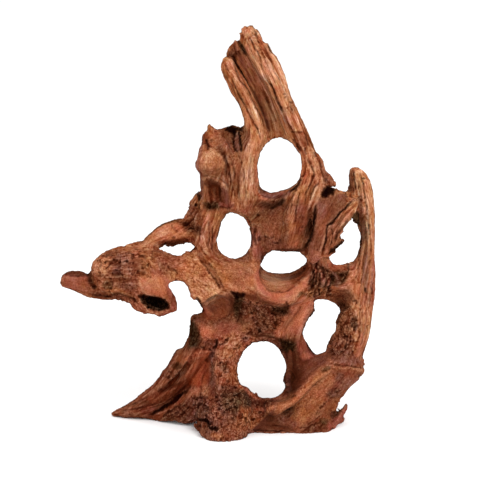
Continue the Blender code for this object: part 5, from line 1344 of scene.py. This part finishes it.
def grain_field():
    """The grain's direction in each cell of a block round the wood."""
    axes = [field_low[k] + (np.arange(field_shape[k]) + 0.5) * GRAIN_CELL for k in range(3)]
    cells = np.stack(np.meshgrid(*axes, indexing="ij"), -1).reshape(-1, 3)
    pull = np.zeros((len(cells), 3, 3))
    for line in grain_lines:
        for start, run in zip(line, np.diff(line, axis=0)):
            along = np.clip((cells - start) @ run / (run @ run), 0, 1)
            gap = ((cells - start - along[:, None] * run) ** 2).sum(1)
            way = run / np.linalg.norm(run)
            pull += np.outer(way, way) / ((gap + LINE_REACH**2) ** 2)[:, None, None]
    pull /= np.trace(pull, axis1=1, axis2=2)[:, None, None]
    return np.linalg.eigh(pull)[1][:, :, 2]


def grain_at(points):
    """The grain's direction at points."""
    cell = np.clip(((points - field_low) / GRAIN_CELL).astype(int), 0, np.array(field_shape) - 1)
    return field[(cell[:, 0] * field_shape[1] + cell[:, 1]) * field_shape[2] + cell[:, 2]]


def smeared(size, step, steps, seed):
    """Noise with lumps of that size, averaged along the grain over so many steps of so many millimetres."""
    total = lumps(place, size, seed)
    for way in (-1, 1):
        spot = place.copy()
        heading = way * grain_at(spot)
        for _ in range(steps):
            spot += heading * step * MM
            turned = grain_at(spot)
            turned *= np.sign((turned * heading).sum(1))[:, None] + CLOSEST
            heading = turned
            total += lumps(spot, size, seed)
    return total / total.std()


def moved(by, way):
    """Moves the skin by millimetres along a direction at each point, and keeps it in the solid part's box."""
    shifted = place + way * (by * MM)[:, None]
    place[:] = np.clip(shifted, np.array(cad_box[0]), np.array(cad_box[1]))
    skin.data.vertices.foreach_set("co", place.ravel())
    skin.data.update()
    normal[:] = read_vectors(skin.data.vertex_normals, "vector")


def hollowness(rounds):
    """How far each spot lies below its surroundings, above nought in a hollow, with a spread of one."""
    around = place.copy()
    for _ in range(rounds):
        around = neighbours_mean(around, ends)
    depth_below = ((around - place) * normal).sum(1)
    return depth_below / depth_below.std()


field_low = np.array(cad_box[0]) - GRAIN_CELL
field_shape = tuple(((np.array(cad_box[1]) - field_low) / GRAIN_CELL).astype(int) + 2)
field = grain_field()

# The noises: strands, threads and streaks along the grain, and lumps, sponge and cracks that have no
# direction.
strand = smeared(size=3.6, step=2.8, steps=8, seed=1)
thread = smeared(size=1.9, step=2.2, steps=9, seed=2)
streak = smeared(size=1.15, step=1.6, steps=9, seed=3)
cross = lumps(place, size=9, seed=4) + 0.6 * lumps(place, size=4.5, seed=5)
sponge = lumps(place, size=3.4, seed=6) + 0.8 * lumps(place, size=1.9, seed=7)
crazed = np.abs(lumps(place, size=5.5, seed=12) + 0.3 * lumps(place, size=2.2, seed=13))
crazing = 1 - eased(crazed, low=0, high=0.2)
crackle = 1 - eased(np.abs(lumps(place, size=2.8, seed=14)), low=0, high=0.26)
blotch = lumps(place, size=16, seed=15) + 0.7 * lumps(place, size=7, seed=16)
speck = lumps(place, size=1.3, seed=8) + lumps(place, size=2.6, seed=9)

# The carving: first the strokes, along the line of sight, and then the grain, along the skin's own normals.
toward_eye = np.array(eye) - place
toward_eye /= np.linalg.norm(toward_eye, axis=1)[:, None]
moved(lift, toward_eye)
strength = fibre * (0.75 + 0.35 * cross)
split = eased(-strand, low=0.9, high=2)
hairline = eased(-thread, low=1, high=2)
furrow = 0.34 * strand + 0.28 * thread + 0.1 * streak - 0.5 * split - 0.35 * hairline
cells = 0.5 * sponge - 1.0 * eased(-sponge, low=0.2, high=0.9) - 0.7 * crazing - 0.45 * crackle
moved(0.85 * strength * furrow + grit * cells, normal)

# The colour: the stain, blotched where the eye's view doesn't reach, streaked and freckled, with a wander
# towards red and yellow. Crests are bleached, hollows get painted shade, cracks and pits are darkened, and
# the rims that turn away get painted shade too.
# Painted shade: the deeper a spot lies in a hollow, the darker it is painted.
broad, narrow = hollowness(rounds=10), hollowness(rounds=2)
shadow = 0.26 * eased(broad, low=0.4, high=3) + 0.36 * eased(narrow, low=0.4, high=2.4)
shadow = np.clip(shadow, 0, 0.6)
crest = 0.24 * eased(-narrow, low=0.4, high=2.2) + 0.1 * eased(-broad, low=0.5, high=2.5)
aged = lumps(place, size=36, seed=29) + 0.5 * lumps(place, size=13, seed=30)
bared = lumps(place, size=30, seed=31) + 0.5 * lumps(place, size=11, seed=32)
stain += (0.5 * eased(aged, low=-0.05, high=0.45) * (1 - seen))[:, None] * (UMBER - stain)
stain += (0.45 * eased(bared, low=0, high=0.5) * (1 - seen))[:, None] * (HONEY - stain)
grained = 0.19 * streak + 0.14 * thread + 0.06 * strand
mottled = 0.26 * speck + 0.16 * cross
uneven = fibre * grained + (0.35 + grit) * 0.6 * mottled + 0.14 * blotch
tone = stain * np.exp(uneven[:, None] * DEEPENING)
hue = 0.05 * fibre * smeared(size=1.7, step=1.8, steps=8, seed=17)
redness = sum(lumps(place, size, seed) for size, seed in ((3.2, 10), (7, 11), (15, 18)))
yellowness = sum(lumps(place, size, seed) for size, seed in ((2.4, 19), (5.5, 27), (14, 28)))
redness, yellowness = 0.12 * redness + hue, 0.12 * yellowness - 0.6 * hue
tone *= np.exp(redness[:, None] * REDDER + yellowness[:, None] * YELLOWER)
# Crests are worn pale; the pale marks are worn ribs, and painted highlights on lips and knobs.
tone += 0.5 * ((crest + 0.6 * pale) * (1 - dark))[:, None] * (BLEACHED - tone)
cracked = (1 - 0.45 * strength * split) * (1 - 0.35 * strength * hairline)
pitted = 1 - np.clip(grit, 0, 1.2) * (0.36 * crazing + 0.34 * crackle)
# Painted shade in hollows, together with the dark of fine cracks and pits.
shade_and_cracks = 1 - (1 - shadow) * cracked * pitted
tone *= np.exp(-1.55 * shade_and_cracks[:, None] * DEEPENING)
turned = seen * (1 - eased(facing, low=0.05, high=0.4))
tone *= 1 - turned[:, None] * RIM_SHADE
# The dark marks of splits, holes and the undersides of edges go towards black, much of it painted shade.
tone += np.clip(dark * (0.9 + 0.15 * speck), 0, 0.97)[:, None] * (SHADE_BLACK - tone)
tone = np.clip(tone, 0.0008, 0.85)

# How strong the finest fibres are, and how dull the wood is.
tooth = np.clip(0.3 + 0.65 * eased(fibre, low=0.3, high=1) + 0.3 * grit, 0, 1) * (1 - 0.5 * dark)
roughness = np.clip(0.62 + 0.08 * grit + 0.1 * shadow - 0.06 * (fibre < 0.45), 0.5, 0.85)


# The pieces. The skin carries its stain, and is cut at the forks, along planes through the eye that the front
# view shows as lines. Each piece is closed over its cuts, keeps the one wood material, and stands in for the
# solid of its name.
FORKS = (
    ((-13, 324), (22, 291)), ((36, 291), (74, 305)), ((18, 262), (-14, 212)), ((-66, 194), (-20, 200)),
    ((-12, 202), (22, 184)), ((43, 174.5), (92, 183)), ((-72, 232), (-72, 152)), ((98.5, 264), (98.5, 206)),
    ((97, 190), (84, 126)), ((66, 98), (128, 93)), ((-56, 129.5), (68, 127)), ((-42, 134), (-42, -30)),
    ((22, 86), (64, 103)), ((14, 56), (14, -30)),
)
SLOTS = {
    "split_spar": "bleached_sapwood", "knobbed_shoulder": "bleached_sapwood", "horn": "bleached_sapwood",
    "flank_and_flap": "red_heartwood", "heart": "red_heartwood", "splinter_root": "red_heartwood",
    "right_foot": "red_heartwood", "left_arm": "rough_burl", "burl_foot": "rough_burl",
}
CUT_OVERRUN = 3.0
CUT_ROOM = 3 * FINE_VOXEL
ON_CUT = 1e-7
VOTES = 60
FIBRED_FROM = (0.3, 0.9)
FIBRE_STEPS = 3
FIBRE_STEP = 1.1 * MM
FIBRE_SCALE = 860
FIBRE_SPREAD = 0.14
FLECK = 0.82
FLECK_TINT = (0.75, 1.05, 1.2)
FLECK_HEIGHT = 0.35 * MM
FLECK_BUMP = 0.5


def wood_material():
    """Dull dry wood, coloured by the skin's stain and painted light, with fibres too fine to be carved."""
    made = bpy.data.materials.new("driftwood")
    made.use_nodes = True
    nodes, links = made.node_tree.nodes, made.node_tree.links
    surface = nodes["Principled BSDF"]
    surface.inputs["Specular IOR Level"].default_value = 0
    read = {}
    for name in ("tone", "roughness", "grain"):
        read[name] = nodes.new("ShaderNodeAttribute")
        read[name].attribute_name = name
    where = nodes.new("ShaderNodeTexCoord")
    total = None
    for step in range(-FIBRE_STEPS, FIBRE_STEPS + 1):
        spot = nodes.new("ShaderNodeVectorMath")
        spot.operation = "MULTIPLY_ADD"
        spot.inputs[1].default_value = (step * FIBRE_STEP,) * 3
        links.new(read["grain"].outputs["Vector"], spot.inputs[0])
        links.new(where.outputs["Object"], spot.inputs[2])
        noise = nodes.new("ShaderNodeTexNoise")
        noise.inputs["Scale"].default_value = FIBRE_SCALE
        noise.inputs["Detail"].default_value = 1
        links.new(spot.outputs["Vector"], noise.inputs["Vector"])
        summed = nodes.new("ShaderNodeMath")
        summed.operation = "ADD"
        links.new(noise.outputs["Fac"], summed.inputs[0])
        if total:
            links.new(total, summed.inputs[1])
        else:
            summed.inputs[1].default_value = 0
        total = summed.outputs["Value"]
    fibres = nodes.new("ShaderNodeMapRange")
    fibres.inputs["From Min"].default_value = (0.5 - FIBRE_SPREAD) * (2 * FIBRE_STEPS + 1)
    fibres.inputs["From Max"].default_value = (0.5 + FIBRE_SPREAD) * (2 * FIBRE_STEPS + 1)
    links.new(total, fibres.inputs["Value"])
    fibres.inputs["To Min"].default_value = -FLECK
    fibres.inputs["To Max"].default_value = FLECK
    fleck = nodes.new("ShaderNodeMath")
    fleck.operation = "MULTIPLY"
    links.new(fibres.outputs["Result"], fleck.inputs[0])
    links.new(read["tone"].outputs["Alpha"], fleck.inputs[1])
    deepened = nodes.new("ShaderNodeVectorMath")
    deepened.operation = "MULTIPLY_ADD"
    links.new(fleck.outputs["Value"], deepened.inputs[0])
    deepened.inputs[1].default_value = FLECK_TINT
    deepened.inputs[2].default_value = (1, 1, 1)
    tinted = nodes.new("ShaderNodeVectorMath")
    tinted.operation = "MULTIPLY"
    links.new(read["tone"].outputs["Color"], tinted.inputs[0])
    links.new(deepened.outputs["Vector"], tinted.inputs[1])
    links.new(tinted.outputs["Vector"], surface.inputs["Base Color"])
    links.new(read["roughness"].outputs["Fac"], surface.inputs["Roughness"])
    bump = nodes.new("ShaderNodeBump")
    bump.inputs["Strength"].default_value = FLECK_BUMP
    bump.inputs["Distance"].default_value = FLECK_HEIGHT
    links.new(fleck.outputs["Value"], bump.inputs["Height"])
    links.new(bump.outputs["Normal"], surface.inputs["Normal"])
    return made


def places_of(work):
    """The places of a working mesh's points."""
    work.verts.index_update()
    return np.array([vertex.co[:] for vertex in work.verts])


def part_at_forks(mesh):
    """Cuts the skin along each fork's plane, through the eye, and opens the cuts."""
    work = bmesh.new()
    work.from_mesh(mesh)
    for start, end in FORKS:
        a, b = Vector(placed(*start, 0)), Vector(placed(*end, 0))
        across_cut = (a - eye).cross(b - eye).normalized()
        points = places_of(work)
        off = (points - np.array(eye)) @ np.array(across_cut)
        cut_across, cut_up, _ = drawn(points)
        way = np.array(end, float) - start
        length = np.linalg.norm(way)
        along = ((cut_across - start[0]) * way[0] + (cut_up - start[1]) * way[1]) / length
        chosen = (np.abs(off) < CUT_ROOM) & (along > -CUT_OVERRUN) & (along < length + CUT_OVERRUN)
        work.verts.ensure_lookup_table()
        faces = {face for index in np.flatnonzero(chosen) for face in work.verts[index].link_faces}
        edges = {edge for face in faces for edge in face.edges}
        corners = {corner for face in faces for corner in face.verts}
        parts = list(faces) + list(edges | corners)
        made = bmesh.ops.bisect_plane(work, geom=parts, plane_co=eye, plane_no=across_cut, dist=ON_CUT)
        for item in made["geom_cut"]:
            if isinstance(item, bmesh.types.BMEdge):
                item.seam = True
    bmesh.ops.split_edges(work, edges=[edge for edge in work.edges if edge.seam])
    work.to_mesh(mesh)
    work.free()


def close_cuts(mesh):
    """Fills the open rims, with sharp edges round them."""
    work = bmesh.new()
    work.from_mesh(mesh)
    rims = [edge for edge in work.edges if edge.is_boundary]
    for edge in rims:
        edge.smooth = False
    filled = bmesh.ops.holes_fill(work, edges=rims, sides=0)["faces"]
    for face in filled:
        face.smooth = False
    bmesh.ops.triangulate(work, faces=filled)
    work.to_mesh(mesh)
    work.free()


colour = skin.data.attributes.new("tone", "FLOAT_COLOR", "POINT")
colour.data.foreach_set("color", np.column_stack([tone, tooth]).ravel())
rough = skin.data.attributes.new("roughness", "FLOAT", "POINT")
rough.data.foreach_set("value", roughness)
aim = skin.data.attributes.new("grain", "FLOAT_VECTOR", "POINT")
aim.data.foreach_set("vector", (grain_at(place) * eased(fibre, *FIBRED_FROM)[:, None]).ravel())
skin.data.shade_smooth()
part_at_forks(skin.data)

wood = wood_material()
skin.data.materials.append(wood)
nearest_solid = KDTree(sum(len(node.data.vertices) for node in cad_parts.values()))
names = []
for name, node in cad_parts.items():
    for vertex in node.data.vertices:
        nearest_solid.insert(node.matrix_world @ vertex.co, len(names))
        names.append(name)
nearest_solid.balance()

bpy.ops.object.select_all(action="DESELECT")
skin.select_set(True)
bpy.context.view_layer.objects.active = skin
bpy.ops.mesh.separate(type="LOOSE")
found = {}
for loose in bpy.context.selected_objects:
    vertices = loose.data.vertices
    picks = [vertices[int(k)].co for k in np.linspace(0, len(vertices) - 1, VOTES)]
    votes = [names[nearest_solid.find(pick)[1]] for pick in picks]
    name = max(set(votes), key=votes.count)
    found.setdefault(name, []).append(loose)
for name, slot in SLOTS.items():
    piece = max(found[name], key=lambda item: len(item.data.vertices))
    for crumb in found[name]:
        if crumb is not piece:
            bpy.data.objects.remove(crumb)
    piece.name = name + "_wood"
    close_cuts(piece.data)
    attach(piece, "root")
    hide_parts(name)


# The stage, as in a photographer's studio: a wide pale floor under a white sky, with a soft main light above
# and to the right, and a weak fill from the left.
FLOOR_SIZE = 60
FLOOR_PALENESS = 0.92
SKY = 1.15
LIT_SPOT = (0, 0, 0.2)

bpy.ops.object.select_all(action="DESELECT")
bpy.ops.mesh.primitive_plane_add(size=FLOOR_SIZE, location=(0, 0, 0))
floor = bpy.context.object
floor.name = "floor"
floor_paint = bpy.data.materials.new("floor")
floor_paint.use_nodes = True
paint = floor_paint.node_tree.nodes["Principled BSDF"].inputs
paint["Base Color"].default_value = (*(FLOOR_PALENESS,) * 3, 1)
paint["Roughness"].default_value = 0.9
paint["Specular IOR Level"].default_value = 0.1
floor.data.materials.append(floor_paint)

sky = bpy.data.worlds.new("sky")
sky.use_nodes = True
sky.node_tree.nodes["Background"].inputs["Color"].default_value = (1, 1, 1, 1)
sky.node_tree.nodes["Background"].inputs["Strength"].default_value = SKY
bpy.context.scene.world = sky


def soft_light(name, where, size, power):
    """A square soft light that shines from a place onto the wood."""
    bpy.ops.object.light_add(type="AREA", location=where)
    light = bpy.context.object
    light.name = name
    light.data.size = size
    light.data.energy = power
    light.rotation_euler = (Vector(LIT_SPOT) - Vector(where)).to_track_quat("-Z", "Y").to_euler()


soft_light("main_light", where=(0.7, -1.2, 1.7), size=0.8, power=26)
soft_light("fill_light", where=(-1.3, -1.5, 0.7), size=1, power=8)
bpy.context.scene.view_settings.view_transform = "Standard"
